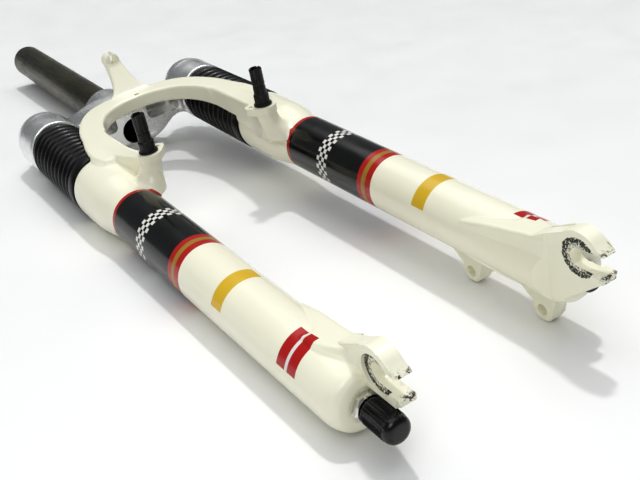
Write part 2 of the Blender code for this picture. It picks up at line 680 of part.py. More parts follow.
# Guides, seals and studs carried by the casting ---------------------------------------------------
def make_leg_fittings(side):
    x = side * LEG_X
    slide_r, outer_r = STANCHION_R + GAP, STANCHION_R + GAP + BUSHING_WALL
    seal_foot = LEG_TOP - 0.0065
    upper_top = seal_foot - GAP
    sleeve(side_name("upper_bushing", side), outer_r, slide_r, upper_top - BUSHING_LENGTH,
           upper_top, x=x, material="bush_polymer", steps=ROUND_STEPS)
    sleeve(side_name("lower_bushing", side), outer_r, slide_r,
           LOWER_BUSHING_Y - BUSHING_LENGTH / 2, LOWER_BUSHING_Y + BUSHING_LENGTH / 2,
           x=x, material="bush_polymer", steps=ROUND_STEPS)
    lip_top = LEG_TOP + GAP + 0.0030
    turned(side_name("wiper_seal", side),
           [(slide_r + 0.0006, lip_top), (BORE_R + 0.0009, LEG_TOP + GAP + 0.0010),
            (BORE_R + 0.0009, LEG_TOP + GAP), (outer_r, LEG_TOP + GAP), (outer_r, seal_foot),
            (slide_r, seal_foot), (slide_r, lip_top)],
           x=x, material="black_rubber", steps=ROUND_STEPS)
    face = STUD_FACE_Z + GAP
    tip = face + STUD_LENGTH
    hollow = 0.0026
    turned(side_name("brake_stud", side),
           [(0, tip - 0.014), (hollow, tip - 0.014), (hollow, tip), (STUD_R - 0.0005, tip),
            (STUD_R, tip - 0.0005), (STUD_R, face + 0.0070), (STUD_COLLAR_R, face + 0.0065),
            (STUD_COLLAR_R, face + 0.0010), (STUD_FLANGE_R, face + 0.0010), (STUD_FLANGE_R, face),
            (STUD_R, face), (STUD_R, STUD_FACE_Z - STUD_SHANK), (0, STUD_FACE_Z - STUD_SHANK)],
           x=side * STUD_X, upright=True, material="black_oxide")
    top = LEG_INSIDE + GAP + BOTTOM_BUMPER_H
    sleeve(side_name("bottom_bumper", side), LOW_BORE_R - 2 * GAP, SHAFT_SHOULDER_R + GAP,
           LEG_INSIDE + GAP, top, x=x, material="elastomer")


# Spring side of the fork (left leg) ---------------------------------------------------------------
def make_spring_side():
    x = LEFT * LEG_X
    shoulder = LEG_INSIDE + GAP
    clip_bottom = STANCHION_BOTTOM + 0.003
    guide_bottom = clip_bottom + CIRCLIP_H + GAP
    guide_top = guide_bottom + GUIDE_H
    bumper_bottom = guide_top + GAP
    seat_bottom = bumper_bottom + BUMPER_H + GAP
    seat_top = seat_bottom + SEAT_H
    sleeve("circlip_left", FIT_IN_TUBE_R, SHAFT_R + 0.0045, clip_bottom,
           clip_bottom + CIRCLIP_H, x=x, material="black_oxide")
    sleeve("shaft_guide", FIT_IN_TUBE_R, SHAFT_R + GAP, guide_bottom, guide_top, x=x,
           material="black_plastic")
    sleeve("top_out_bumper", FIT_IN_TUBE_R - 0.002, SHAFT_R + GAP, bumper_bottom,
           bumper_bottom + BUMPER_H, x=x, material="elastomer")
    tap_r = FOOT_BOLT_R + GAP
    tap_top = shoulder + 0.016
    turned("spring_shaft",
           [(0, seat_bottom), (SHAFT_R, seat_bottom), (SHAFT_R, shoulder + SHOULDER_H),
            (SHAFT_SHOULDER_R, shoulder + SHOULDER_H), (SHAFT_SHOULDER_R, shoulder),
            (tap_r, shoulder), (tap_r, tap_top), (0, tap_top)], x=x, material="bright_steel")
    rod("spring_seat_left", FIT_IN_TUBE_R - 0.0004, seat_bottom + GAP, seat_top, x=x,
        material="black_plastic")
    sleeve("spring_spacer", FIT_IN_TUBE_R - 0.0004, FIT_IN_TUBE_R - 0.0030, seat_top + GAP,
           SPRING_FOOT - GAP, x=x, material="black_plastic")


# Damper side of the fork (right leg) --------------------------------------------------------------
def make_damper_side():
    x = RIGHT * LEG_X
    shoulder = LEG_INSIDE + GAP
    clip_bottom = STANCHION_BOTTOM + 0.003
    body_bottom = clip_bottom + CIRCLIP_H + GAP
    body_in = FIT_IN_TUBE_R - CARTRIDGE_WALL
    head_r = body_in - GAP
    sleeve("circlip_right", FIT_IN_TUBE_R, SHAFT_R + 0.0045, clip_bottom,
           clip_bottom + CIRCLIP_H, x=x, material="black_oxide")
    sleeve("damper_cartridge", FIT_IN_TUBE_R, body_in, body_bottom, CARTRIDGE_TOP, x=x,
           material="tube_metal")
    low_head = body_bottom
    sleeve("damper_lower_head", head_r, SHAFT_R + GAP, low_head, low_head + SEAL_HEAD_H, x=x,
           material="black_plastic")
    sleeve("damper_upper_head", head_r, SHAFT_R + GAP, CARTRIDGE_TOP - SEAL_HEAD_H,
           CARTRIDGE_TOP, x=x, material="black_plastic")
    piston_bottom = low_head + SEAL_HEAD_H + GAP
    sleeve("damper_piston", head_r, SHAFT_R + GAP, piston_bottom, piston_bottom + PISTON_H, x=x,
           material="bush_polymer")
    seat_bottom = SPRING_FOOT - GAP - SEAT_H
    rod_hole = ROD_R + 0.0005
    shaft_end = LEG_BOTTOM - COLLAR_H + 0.0005
    turned("damper_shaft",
           [(rod_hole, seat_bottom - GAP), (SHAFT_R, seat_bottom - GAP),
            (SHAFT_R, shoulder + SHOULDER_H), (SHAFT_SHOULDER_R, shoulder + SHOULDER_H),
            (SHAFT_SHOULDER_R, shoulder), (SHAFT_R, shoulder), (SHAFT_R, shaft_end),
            (rod_hole, shaft_end)], x=x, material="bright_steel")
    rod("spring_seat_right", FIT_IN_TUBE_R - 0.0004, seat_bottom, SPRING_FOOT - GAP, x=x,
        material="black_plastic")


# Feet: bolt on the left, rebound knob on the right ------------------------------------------------
def make_left_foot():
    x = LEFT * LEG_X
    washer_top = FOOT_FACE - GAP
    sleeve("foot_washer", WASHER_R, FOOT_BOLT_R + GAP, washer_top - WASHER_H, washer_top, x=x,
           material="bright_steel")
    head_top = washer_top - WASHER_H - GAP
    head_bottom = head_top - BOLT_HEAD_H
    bolt = turned("foot_bolt",
                  [(0, LEG_INSIDE + 0.014), (FOOT_BOLT_R, LEG_INSIDE + 0.014),
                   (FOOT_BOLT_R, head_top), (BOLT_HEAD_R, head_top),
                   (BOLT_HEAD_R, head_bottom + 0.0006), (BOLT_HEAD_R - 0.0006, head_bottom),
                   (0, head_bottom)], x=x, material="black_oxide")
    socket = rod("bolt_socket", 0.0035, head_bottom - 0.01, head_bottom + 0.0035, x=x, steps=6)
    shape_with(bolt, [socket], "DIFFERENCE")


def make_right_foot():
    """The collar nut holds the damper shaft, and the knob's rod runs up inside the shaft."""
    x = RIGHT * LEG_X
    collar_top = FOOT_FACE - GAP
    collar_bottom = collar_top - COLLAR_H
    sleeve("rebound_collar", COLLAR_R, SHAFT_R + GAP, collar_bottom, collar_top, x=x,
           material="bright_steel", steps=ROUND_STEPS)
    knob_top = collar_bottom - GAP
    knob_bottom = knob_top - REBOUND_KNOB_H
    turned("rebound_knob",
           [(0, knob_bottom + 0.004), (ROD_R + GAP, knob_bottom + 0.004),
            (ROD_R + GAP, knob_top), (REBOUND_KNOB_R, knob_top),
            (REBOUND_KNOB_R, knob_bottom + 0.0020), (REBOUND_KNOB_R - 0.0016, knob_bottom),
            (0, knob_bottom)], x=x, material="black_rubber", steps=24)
    rod("rebound_rod", ROD_R, knob_bottom + 0.004 + GAP, ROD_TOP, x=x, material="bright_steel",
        steps=12)


# Resting on the floor -----------------------------------------------------------------------------
def outer_points(objects):
    """Every corner of the finished solids, and the middle of their volume."""
    seen = bpy.context.evaluated_depsgraph_get()
    corners, total, moment = [], 0.0, Vector()
    for obj in objects:
        solid = obj.evaluated_get(seen)
        mesh = solid.to_mesh()
        mesh.calc_loop_triangles()
        points = [solid.matrix_world @ vertex.co for vertex in mesh.vertices]
        for tri in mesh.loop_triangles:
            a, b, c = (points[i] for i in tri.vertices)
            volume = a.dot(b.cross(c)) / 6
            total += volume
            moment += (a + b + c) / 4 * volume
        corners += points
        solid.to_mesh_clear()
    return corners, moment / total


def settle():
    """Rolls and lowers the fork onto the face of its hull that its weight rests on."""
    bpy.context.view_layer.update()
    corners, centre = outer_points(parts.objects)
    work = bmesh.new()
    for point in corners:
        work.verts.new(point)
    bmesh.ops.convex_hull(work, input=work.verts)
    best = None
    for face in work.faces:
        if face.normal.z > -0.9:
            continue
        a, b, c = (vert.co for vert in face.verts[:3])
        down = face.normal
        foot = centre + down * (a - centre).dot(down)
        sides = [(q - p).cross(foot - p).dot(down) for p, q in ((a, b), (b, c), (c, a))]
        if min(sides) >= 0 and (best is None or down.z < best.z):
            best = down.copy()
    work.free()
    turn = best.rotation_difference(Vector((0, 0, -1))).to_matrix()
    moved = [turn @ point for point in corners]
    low = Vector([min(p[i] for p in moved) for i in range(3)])
    high = Vector([max(p[i] for p in moved) for i in range(3)])
    shift = Vector((-(low.x + high.x) / 2, -(low.y + high.y) / 2, -low.z))
    fork.matrix_world = Matrix.Translation(shift) @ turn.to_4x4()
    bpy.context.view_layer.update()


clear_scene()
parts = new_collection("suspension_fork")
tools = new_collection("shaping_tools")
fork = bpy.data.objects.new("fork_axes", None)
bpy.context.scene.collection.objects.link(fork)
for finish_name, values in FINISHES.items():
    finish(finish_name, *values)
make_crown(make_steerer())
for leg_side in (LEFT, RIGHT):
    make_stanchion_side(leg_side)
    make_boot(leg_side)
    make_leg_fittings(leg_side)
make_casting()
make_spring_side()
make_damper_side()
make_left_foot()
make_right_foot()
settle()
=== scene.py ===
import bpy
import bmesh
import json
import math
import numpy as np
from mathutils import Matrix, Vector


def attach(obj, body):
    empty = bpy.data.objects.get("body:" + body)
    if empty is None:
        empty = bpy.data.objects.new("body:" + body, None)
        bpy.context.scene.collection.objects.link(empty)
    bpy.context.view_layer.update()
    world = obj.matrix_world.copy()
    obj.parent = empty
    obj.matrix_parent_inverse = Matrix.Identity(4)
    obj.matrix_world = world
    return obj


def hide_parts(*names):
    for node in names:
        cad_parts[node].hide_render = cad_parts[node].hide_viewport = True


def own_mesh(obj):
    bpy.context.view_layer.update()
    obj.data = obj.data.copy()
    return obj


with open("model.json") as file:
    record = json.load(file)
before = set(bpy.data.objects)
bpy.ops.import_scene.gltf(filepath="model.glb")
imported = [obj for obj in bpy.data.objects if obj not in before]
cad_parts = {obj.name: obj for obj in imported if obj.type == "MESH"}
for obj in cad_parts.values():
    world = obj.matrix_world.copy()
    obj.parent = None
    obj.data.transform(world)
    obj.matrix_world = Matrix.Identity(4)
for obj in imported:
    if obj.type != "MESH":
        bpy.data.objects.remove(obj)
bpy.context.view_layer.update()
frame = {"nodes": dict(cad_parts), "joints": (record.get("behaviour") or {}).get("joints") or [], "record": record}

# The fork's own directions -----------------------------------------------------------------------
# The fork lies on its back and has rolled a little onto its right leg. Every piece is drawn in the
# fork's own directions: X to the rider's left, Y up the legs to the steerer, Z out of its front.
# Y is 0 at the brake studs and Z is 0 on the plane of the two leg axes. Sizes are in metres.
joints = {joint["name"]: joint for joint in frame["joints"]}
mounts = {mount["name"]: mount for mount in frame["record"]["mounts"]}
along = Vector(joints["fork_slide"]["axis"]).normalized()
cap_left = Vector(joints["preload_turn_left"]["pos_m"])
cap_right = Vector(joints["preload_turn_right"]["pos_m"])
leftward = (cap_left - cap_right).normalized()
forward = leftward.cross(along).normalized()
leg_x = (cap_left - cap_right).length / 2
caps_middle = (cap_left + cap_right) / 2
stud_seat = Vector(mounts["brake_stud_seat_left"]["pos_m"])
origin = caps_middle + along * (stud_seat - caps_middle).dot(along)
FORK = Matrix((leftward, along, forward)).transposed().to_4x4()
FORK.translation = origin
TO_FORK = FORK.inverted()


def own(point):
    """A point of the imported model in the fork's own directions."""
    return TO_FORK @ Vector(point)


LEFT, RIGHT = 1, -1
SIDES = {"left": LEFT, "right": RIGHT}


# Steerer tube ------------------------------------------------------------------------------------
# A drawn steel tube, pressed into the crown and held there for good. It was chemically darkened, and
# a headset and stem have rubbed faint bands into it.
steerer_z = own(mounts["steerer_end"]["pos_m"]).z - 0.0135
STEERER_R, STEERER_BORE = 0.0143, 0.0127
steerer_top = own(mounts["steerer_end"]["pos_m"]).y
steerer_foot = 0.1615


def join(work, upper, lower):
    """A band of faces between two rings, either of which may be a single point."""
    count = max(len(upper), len(lower))
    for i in range(count):
        j = (i + 1) % count
        corners = [upper[i % len(upper)], lower[i % len(lower)],
                   lower[j % len(lower)], upper[j % len(upper)]]
        work.faces.new(list(dict.fromkeys(corners)))


def lathe(work, profile, x=0.0, z=0.0, steps=96, ring=False, reach=None):
    """Turns (radius, height) points about an axis parallel to Y. A ring closes on itself.

    reach changes a point's radius from one angle to the next, for flats, ribs and flutes.
    """
    rows = []
    for radius, height, *more in profile:
        if radius < 1e-7:
            rows.append([work.verts.new((x, height, z))])
            continue
        rows.append([])
        for i in range(steps):
            t = 2 * math.pi * i / steps
            r = reach(t, radius, *more) if reach else radius
            rows[-1].append(work.verts.new((x + r * math.sin(t), height, z + r * math.cos(t))))
    for upper, lower in zip(rows, rows[1:] + (rows[:1] if ring else [])):
        join(work, upper, lower)
    return rows


def rounded(radius, height, lip, inward=1):
    """Four points that round a corner at (radius, height), from the top face to the side."""
    return [(radius - lip * (1 - math.sin(t)), height - inward * lip * (1 - math.cos(t)))
            for t in (0.0, math.pi / 6, math.pi / 3, math.pi / 2)]


def to_object(work, name, smooth_angle=35.0, placed=FORK):
    """Turns a bmesh drawn in the fork's directions into an object that lies with the fork."""
    bmesh.ops.recalc_face_normals(work, faces=work.faces)
    mesh = bpy.data.meshes.new(name)
    work.to_mesh(mesh)
    work.free()
    mesh.shade_smooth()
    mesh.set_sharp_from_angle(angle=math.radians(smooth_angle))
    made = bpy.data.objects.new(name, mesh)
    bpy.context.scene.collection.objects.link(made)
    made.matrix_world = placed
    return made


def fit(made, material, body, slot_name, *nodes):
    """Settles a piece where it lies, and gives it its finish, its body and what it stands for."""
    made.data.transform(made.matrix_world)
    made.matrix_world = Matrix.Identity(4)
    made.data.materials.clear()
    made.data.materials.append(material)
    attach(made, body)
    if nodes:
        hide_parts(*nodes)
    return made


work = bmesh.new()
lathe(work, rounded(STEERER_R, steerer_top, 0.0006) + [(STEERER_R, steerer_foot),
      (STEERER_BORE, steerer_foot), (STEERER_BORE, steerer_top - 0.0004),
      (STEERER_BORE + 0.0004, steerer_top)], z=steerer_z, ring=True)
steerer = to_object(work, "steerer_tube_drawn")


class Wire:
    """A value that a material's nodes carry. Reckoning with it adds the node for that step."""

    def __init__(self, socket):
        self.socket, self.tree = socket, socket.id_data

    def math(self, operation, *others):
        return add(self.tree, "Math", {"operation": operation}, self, *others)[0]

    def __add__(self, other):
        return self.math("ADD", other)

    def __sub__(self, other):
        return self.math("SUBTRACT", other)

    def __rsub__(self, other):
        return add(self.tree, "Math", {"operation": "SUBTRACT"}, other, self)[0]

    def __mul__(self, other):
        return self.math("MULTIPLY", other)

    def __lt__(self, other):
        return self.math("LESS_THAN", other)

    def __gt__(self, other):
        return self.math("GREATER_THAN", other)


class Wires:
    """The wires that leave a node, by name or by place."""

    def __init__(self, outputs):
        self.outputs = outputs

    def __getitem__(self, key):
        return Wire(self.outputs[key])


def feed(socket, value):
    """Gives a socket its value, or joins it to the wire that carries one."""
    if isinstance(value, Wire):
        value.tree.links.new(value.socket, socket)
    else:
        socket.default_value = (*value, 1) if socket.type == "RGBA" else value


def add(tree, kind, settings, *plugs, **named):
    """A node with its settings, whose inputs are fed by place or by name."""
    node = tree.nodes.new("ShaderNode" + kind)
    for key, value in settings.items():
        setattr(node, key, value)
    for key, value in [*enumerate(plugs), *named.items()]:
        feed(node.inputs[key], value)
    return Wires(node.outputs)


def over(under, mask, colour):
    """colour laid over under where mask is 1."""
    mix = mask.tree.nodes.new("ShaderNodeMix")
    mix.data_type = "RGBA"
    for key, value in ((0, mask), (6, under), (7, colour)):
        feed(mix.inputs[key], value)
    return Wire(mix.outputs[2])


def spread(value, low, high, to_low=0.0, to_high=1.0):
    """value from low..high drawn out to to_low..to_high, and held there outside."""
    return add(value.tree, "MapRange", {"clamp": True}, value, low, high, to_low, to_high)[0]


def noise_at(place, scale, detail=3.0, roughness=0.55):
    return add(place.tree, "TexNoise", {}, Vector=place, Scale=scale, Detail=detail,
               Roughness=roughness)[0]


def new_group(name, inputs, outputs):
    """An empty node group, the wires that come into it, and the node that they leave by."""
    group = bpy.data.node_groups.new(name, "ShaderNodeTree")
    for direction, sockets in (("INPUT", inputs), ("OUTPUT", outputs)):
        for label, kind in sockets.items():
            group.interface.new_socket(label, in_out=direction, socket_type="NodeSocket" + kind)
    into, out = group.nodes.new("NodeGroupInput"), group.nodes.new("NodeGroupOutput")
    return group, Wires(into.outputs), out


class Finish:
    """A material with its Principled shader, and a place in the fork's own directions."""

    def __init__(self, name, **values):
        self.material = bpy.data.materials.new(name)
        self.material.use_nodes = True
        self.tree = self.material.node_tree
        self.shader = self.tree.nodes["Principled BSDF"]
        self.set(**values)
        world_place = add(self.tree, "TexCoord", {})["Object"]
        self.here = add(self.tree, "Mapping", {}, Vector=world_place, Location=TO_FORK.translation,
                        Rotation=TO_FORK.to_euler())[0]

    def set(self, **values):
        for key, value in values.items():
            feed(self.shader.inputs[key.replace("_", " ")], value)

    def bump(self, height, strength, distance):
        self.set(Normal=add(self.tree, "Bump", {}, Strength=strength, Distance=distance,
                            Height=height)[0])


def make_speckle_group():
    """Dust and small marks: a mask of scattered specks, and a slow drift of light and dark."""
    group, into, out = new_group("specks_and_drift", {
        "Place": "Vector", "Speck Scale": "Float", "Amount": "Float", "Drift Scale": "Float"},
        {"Specks": "Float", "Drift": "Float"})
    place, speck_scale, amount, drift_scale = (into[i] for i in range(4))
    cells = add(group, "TexVoronoi", {"feature": "F1"}, Vector=place, Scale=speck_scale)
    seldom = noise_at(place, 60.0, 2.0)
    feed(out.inputs["Specks"], (cells["Distance"] < 0.16) * (seldom > 0.78 - amount * 0.2))
    feed(out.inputs["Drift"], add(group, "TexNoise", {}, Vector=place, Scale=drift_scale,
                                  Detail=4.0)[0])
    return group


SPECKS = make_speckle_group()


def marks_on(finish, speck_scale, amount, drift_scale):
    return add(finish.tree, "Group", {"node_tree": SPECKS}, finish.here, speck_scale, amount,
               drift_scale)


def make_grain_group():
    """Fine lines left by turning or drawing, as a height from 0 to 1."""
    group, into, out = new_group("drawn_grain", {
        "Place": "Vector", "Along": "Float", "Across": "Float"}, {"Height": "Float"})
    x, y, z = add(group, "SeparateXYZ", {}, into["Place"])
    stretched = add(group, "CombineXYZ", {}, x * into["Along"], y * into["Across"],
                    z * into["Along"])[0]
    feed(out.inputs["Height"], noise_at(stretched, 1.0))
    return group


GRAIN = make_grain_group()


def grain_on(finish, along_scale, across_scale):
    return add(finish.tree, "Group", {"node_tree": GRAIN}, finish.here, along_scale,
               across_scale)[0]


def dark_tube_finish():
    finish = Finish("darkened_tube", Roughness=0.36, Metallic=0.85)
    height = add(finish.tree, "SeparateXYZ", {}, finish.here)[1]
    grain = grain_on(finish, 700.0, 60.0)
    specks, drift = marks_on(finish, 600.0, 0.9, 22.0)
    base = over((0.030, 0.027, 0.010), spread(drift, 0.35, 0.68), (0.072, 0.064, 0.030))
    bands = noise_at(height * 120.0, 1.0, 2.0)
    base = over(base, spread(bands, 0.56, 0.66, 0.0, 0.3), (0.11, 0.10, 0.06))
    base = over(base, specks, (0.02, 0.018, 0.012))
    finish.set(Base_Color=base, Roughness=spread(grain, 0.3, 0.7, 0.28, 0.46))
    finish.bump(grain, 0.3, 0.00002)
    return finish.material


fit(steerer, dark_tube_finish(), "upper", "dark_steel", "steerer_tube")

# Crown -------------------------------------------------------------------------------------------
# One forging in aluminium alloy, polished bright. Two sockets take the stanchions, a boss takes the
# steerer, and the arms between them are hollowed from below to save weight.
crown_bottom = 0.138
SOCKET_R, SOCKET_TOP, STANCHION_R = 0.0208, 0.178, 0.0140
BOSS_R, BOSS_TOP, UNDER_HOLE_R = 0.0192, 0.207, 0.0100
ARM_BOTTOM, ARM_FRONT, POCKET_DEPTH = 0.146, 0.0085, 0.013


def soft_box(low, high, station, corner, axis, points=5):
    """A rectangle with round corners as a ring, across the axis named."""
    (u0, v0), (u1, v1) = low, high
    corner = min(corner, 0.49 * (u1 - u0), 0.49 * (v1 - v0))
    ring = []
    for cu, cv, start in ((u1 - corner, v1 - corner, 0), (u0 + corner, v1 - corner, 90),
                          (u0 + corner, v0 + corner, 180), (u1 - corner, v0 + corner, 270)):
        for i in range(points):
            t = math.radians(start + 90 * i / (points - 1))
            ring.append((cu + corner * math.cos(t), cv + corner * math.sin(t)))
    order = {"X": lambda u, v: (station, u, v), "Y": lambda u, v: (u, station, v),
             "Z": lambda u, v: (u, v, station)}[axis]
    return [order(u, v) for u, v in ring]


def smooth_through(stations, between_each=4):
    """Stations with smooth in-between ones added, along a Catmull-Rom curve through each value."""
    rows = [np.array(s, float) for s in stations]
    full = []
    for i in range(len(rows) - 1):
        a, b, c, d = rows[max(i - 1, 0)], rows[i], rows[i + 1], rows[min(i + 2, len(rows) - 1)]
        for k in range(between_each):
            t = k / between_each
            full.append(0.5 * (2 * b + (c - a) * t + (2 * a - 5 * b + 4 * c - d) * t ** 2
                               + (3 * b - a - 3 * c + d) * t ** 3))
    return full + [rows[-1]]


def skin(work, rings):
    """A closed skin over rings that all have the same number of points."""
    made = [[work.verts.new(point) for point in ring] for ring in rings]
    for low, high in zip(made, made[1:]):
        join(work, high, low)
    work.faces.new(list(reversed(made[0])))
    work.faces.new(made[-1])


def settle_modifiers(made):
    """Applies what is left on an object's stack to its mesh."""
    bpy.context.view_layer.update()
    seen = made.evaluated_get(bpy.context.evaluated_depsgraph_get())
    mesh = bpy.data.meshes.new_from_object(seen)
    made.modifiers.clear()
    made.data = mesh
    mesh.name = made.name
    return made


def cast_together(work, name, voxel, passes):
    """Melts overlapping solids into one skin with soft inner corners, as a casting comes out."""
    made = to_object(work, name)
    remesh = made.modifiers.new("melt", "REMESH")
    remesh.mode = "VOXEL"
    remesh.voxel_size = voxel
    smooth = made.modifiers.new("ease", "SMOOTH")
    smooth.factor = 0.5
    smooth.iterations = passes
    return settle_modifiers(made)


crown_voxel = 0.0009
work = bmesh.new()
lathe(work, [(0, BOSS_TOP)] + rounded(BOSS_R, BOSS_TOP, 0.0015) + [(BOSS_R, ARM_BOTTOM + 0.004),
      (0, ARM_BOTTOM + 0.004)], z=steerer_z)
beam = [(0.000, ARM_BOTTOM, BOSS_TOP - 0.013, steerer_z - 0.011, ARM_FRONT),
        (0.012, ARM_BOTTOM, BOSS_TOP - 0.015, steerer_z - 0.0125, ARM_FRONT),
        (0.022, ARM_BOTTOM, BOSS_TOP - 0.0195, steerer_z - 0.0095, ARM_FRONT),
        (0.034, ARM_BOTTOM - 0.001, SOCKET_TOP + 0.001, -0.0120, ARM_FRONT),
        (0.046, crown_bottom + 0.004, SOCKET_TOP - 0.006, -0.0110, ARM_FRONT + 0.001),
        (leg_x + 0.002, crown_bottom + 0.002, SOCKET_TOP - 0.010, -0.0110, ARM_FRONT + 0.002)]
beam = smooth_through([(-x, *rest) for x, *rest in beam[:0:-1]] + beam)
skin(work, [soft_box((low, back), (high, front), x, 0.0055, "X")
            for x, low, high, back, front in beam])
for side in SIDES.values():
    dome = [(0, SOCKET_TOP), (0.0160, SOCKET_TOP)]
    dome += [(0.0160 + 0.0050 * math.sin(t), SOCKET_TOP - 0.0140 * (1 - math.cos(t)))
             for t in np.radians((15, 30, 45, 60, 75, 90))]
    lathe(work, dome + [(SOCKET_R, crown_bottom + 0.0006), (SOCKET_R - 0.0006, crown_bottom),
                        (0, crown_bottom)], x=side * leg_x)
crown = cast_together(work, "fork_crown_polished", crown_voxel, 5)


def fill_valleys(made, rounds, keep_out, step=0.5):
    """Lets metal gather in the inner corners, and leaves outer edges as they are."""
    mesh = made.data
    count = len(mesh.vertices)
    ends = np.empty(len(mesh.edges) * 2, np.int64)
    mesh.edges.foreach_get("vertices", ends)
    ends = ends.reshape(-1, 2)
    degree = np.bincount(ends.ravel(), minlength=count)[:, None]
    place = np.empty(count * 3)
    mesh.vertices.foreach_get("co", place)
    place = place.reshape(-1, 3)
    free = ~keep_out(place)
    normal = np.empty(count * 3)
    for turn in range(rounds):
        if turn % 5 == 0:
            mesh.vertices.foreach_set("co", place.ravel())
            mesh.update()
            mesh.vertices.foreach_get("normal", normal)
        mean = np.stack([np.bincount(ends[:, 0], place[ends[:, 1], k], count)
                         + np.bincount(ends[:, 1], place[ends[:, 0], k], count)
                         for k in range(3)], 1) / degree
        outward = ((mean - place) * normal.reshape(-1, 3)).sum(1)
        lift = np.clip(outward, 0, None) * free * step
        place += lift[:, None] * normal.reshape(-1, 3)
    mesh.vertices.foreach_set("co", place.ravel())
    mesh.update()


def snap_round(made, profile, axes, reach=0.0007):
    """Brings skin that strayed from a turned surface back onto it exactly."""
    mesh = made.data
    place = np.empty(len(mesh.vertices) * 3)
    mesh.vertices.foreach_get("co", place)
    place = place.reshape(-1, 3)
    heights = np.array([h for _, h in profile])
    radii = np.array([r for r, _ in profile])
    for x, z in axes:
        across = place[:, [0, 2]] - (x, z)
        radius = np.hypot(across[:, 0], across[:, 1])
        want = np.interp(place[:, 1], heights, radii)
        off = radius - want
        ease = np.clip((np.abs(off) - 0.4 * reach) / (0.6 * reach), 0, 1)
        ease = ease * ease * (3 - 2 * ease)
        on = (np.abs(off) < reach) & (place[:, 1] > heights[0]) & (place[:, 1] < heights[-1])
        scale = np.where(on, (want + off * ease) / np.maximum(radius, 1e-6), 1.0)
        place[:, [0, 2]] = across * scale[:, None] + (x, z)
    mesh.vertices.foreach_set("co", place.ravel())
    mesh.update()


def plug(name, radius, low, high, x=0.0, z=0.0, steps=96):
    """A round cutter parallel to Y."""
    work = bmesh.new()
    lathe(work, [(0, high), (radius, high), (radius, low), (0, low)], x, z, steps)
    return to_object(work, name)


def crisp_above(made, degrees):
    """Smooth all over, but for edges sharper than this."""
    made.data.shade_smooth()
    made.data.set_sharp_from_angle(angle=math.radians(degrees))


def carve(made, cutters, operation="DIFFERENCE"):
    """Cuts closed solids out of a closed mesh, and throws the cutters away."""
    for cutter in cutters:
        boolean = made.modifiers.new("cut", "BOOLEAN")
        boolean.object = cutter
        boolean.operation = operation
        boolean.solver = "MANIFOLD"
        settle_modifiers(made)
        bpy.data.objects.remove(cutter, do_unlink=True)
    return made


fill_valleys(crown, 60, lambda p: p[:, 1] < crown_bottom + 0.002)
snap_round(crown, [(SOCKET_R, crown_bottom + 0.001), (SOCKET_R, SOCKET_TOP - 0.0145)],
           [(side * leg_x, 0) for side in SIDES.values()])
snap_round(crown, [(BOSS_R, BOSS_TOP - 0.009), (BOSS_R, BOSS_TOP - 0.0015)], [(0, steerer_z)])
cutters = [plug("steerer_seat", STEERER_R + 0.0002, steerer_foot - 0.0002, BOSS_TOP + 0.01,
                z=steerer_z),
           plug("hole_under_steerer", UNDER_HOLE_R, crown_bottom - 0.01, steerer_foot + 0.002,
                z=steerer_z)]
pocket_back, pocket_front = ARM_FRONT - 0.0145, ARM_FRONT - 0.0028
for side in SIDES.values():
    cutters.append(plug("socket_bore", STANCHION_R + 0.0002, crown_bottom - 0.01, SOCKET_TOP + 0.01,
                        side * leg_x))
    near, far = sorted((side * (UNDER_HOLE_R + 0.0029), side * (leg_x - SOCKET_R - 0.0022)))
    work = bmesh.new()
    pocket_top = ARM_BOTTOM + POCKET_DEPTH
    rows = [(crown_bottom - 0.006, 0.0006), (ARM_BOTTOM + 0.001, 0.0004),
            (ARM_BOTTOM + 0.006, 0.0), (pocket_top - 0.0022, -0.0002),
            (pocket_top - 0.0006, -0.0010), (pocket_top, -0.0024)]
    skin(work, [soft_box((near - g, pocket_back - g), (far + g, pocket_front + g), y, 0.0042, "Y", 7)
                for y, g in rows])
    cutters.append(to_object(work, "arm_pocket"))
carve(crown, cutters)
crisp_above(crown, 38)


def make_edge_group():
    """Edges rubbed by handling: a mask that is 1 on sharp outer edges, broken up by noise."""
    group, into, out = new_group("rubbed_edges", {
        "Place": "Vector", "Scale": "Float", "Wear": "Float"}, {"Edges": "Float"})
    sharp = spread(add(group, "NewGeometry", {})["Pointiness"], 0.53, 0.62)
    broken = noise_at(into["Place"], into["Scale"], 4.0, 0.7)
    feed(out.inputs["Edges"], sharp * broken > (1.15 - into["Wear"]) * 0.5)
    return group


EDGES = make_edge_group()


def worn_edges(finish, scale, wear):
    return add(finish.tree, "Group", {"node_tree": EDGES}, finish.here, scale, wear)[0]


def polished_finish():
    finish = Finish("polished_forging", Roughness=0.12, Metallic=1.0)
    specks, drift = marks_on(finish, 500.0, 0.9, 28.0)
    worn, grain = worn_edges(finish, 350.0, 0.5), grain_on(finish, 1400.0, 120.0)
    base = over((0.80, 0.80, 0.79), spread(drift, 0.35, 0.7), (0.95, 0.95, 0.94))
    base = over(base, specks * 0.7, (0.18, 0.17, 0.14))
    base = over(base, worn * 0.5, (0.95, 0.95, 0.94))
    finish.set(Base_Color=base, Roughness=spread(drift + grain * 0.4, 0.5, 1.0, 0.20, 0.44))
    finish.bump(noise_at(finish.here, 55.0, 2.0) + grain * 0.02, 0.35, 0.0006)
    return finish.material


POLISHED = polished_finish()
fit(crown, POLISHED, "upper", "polished_aluminium", "fork_crown")

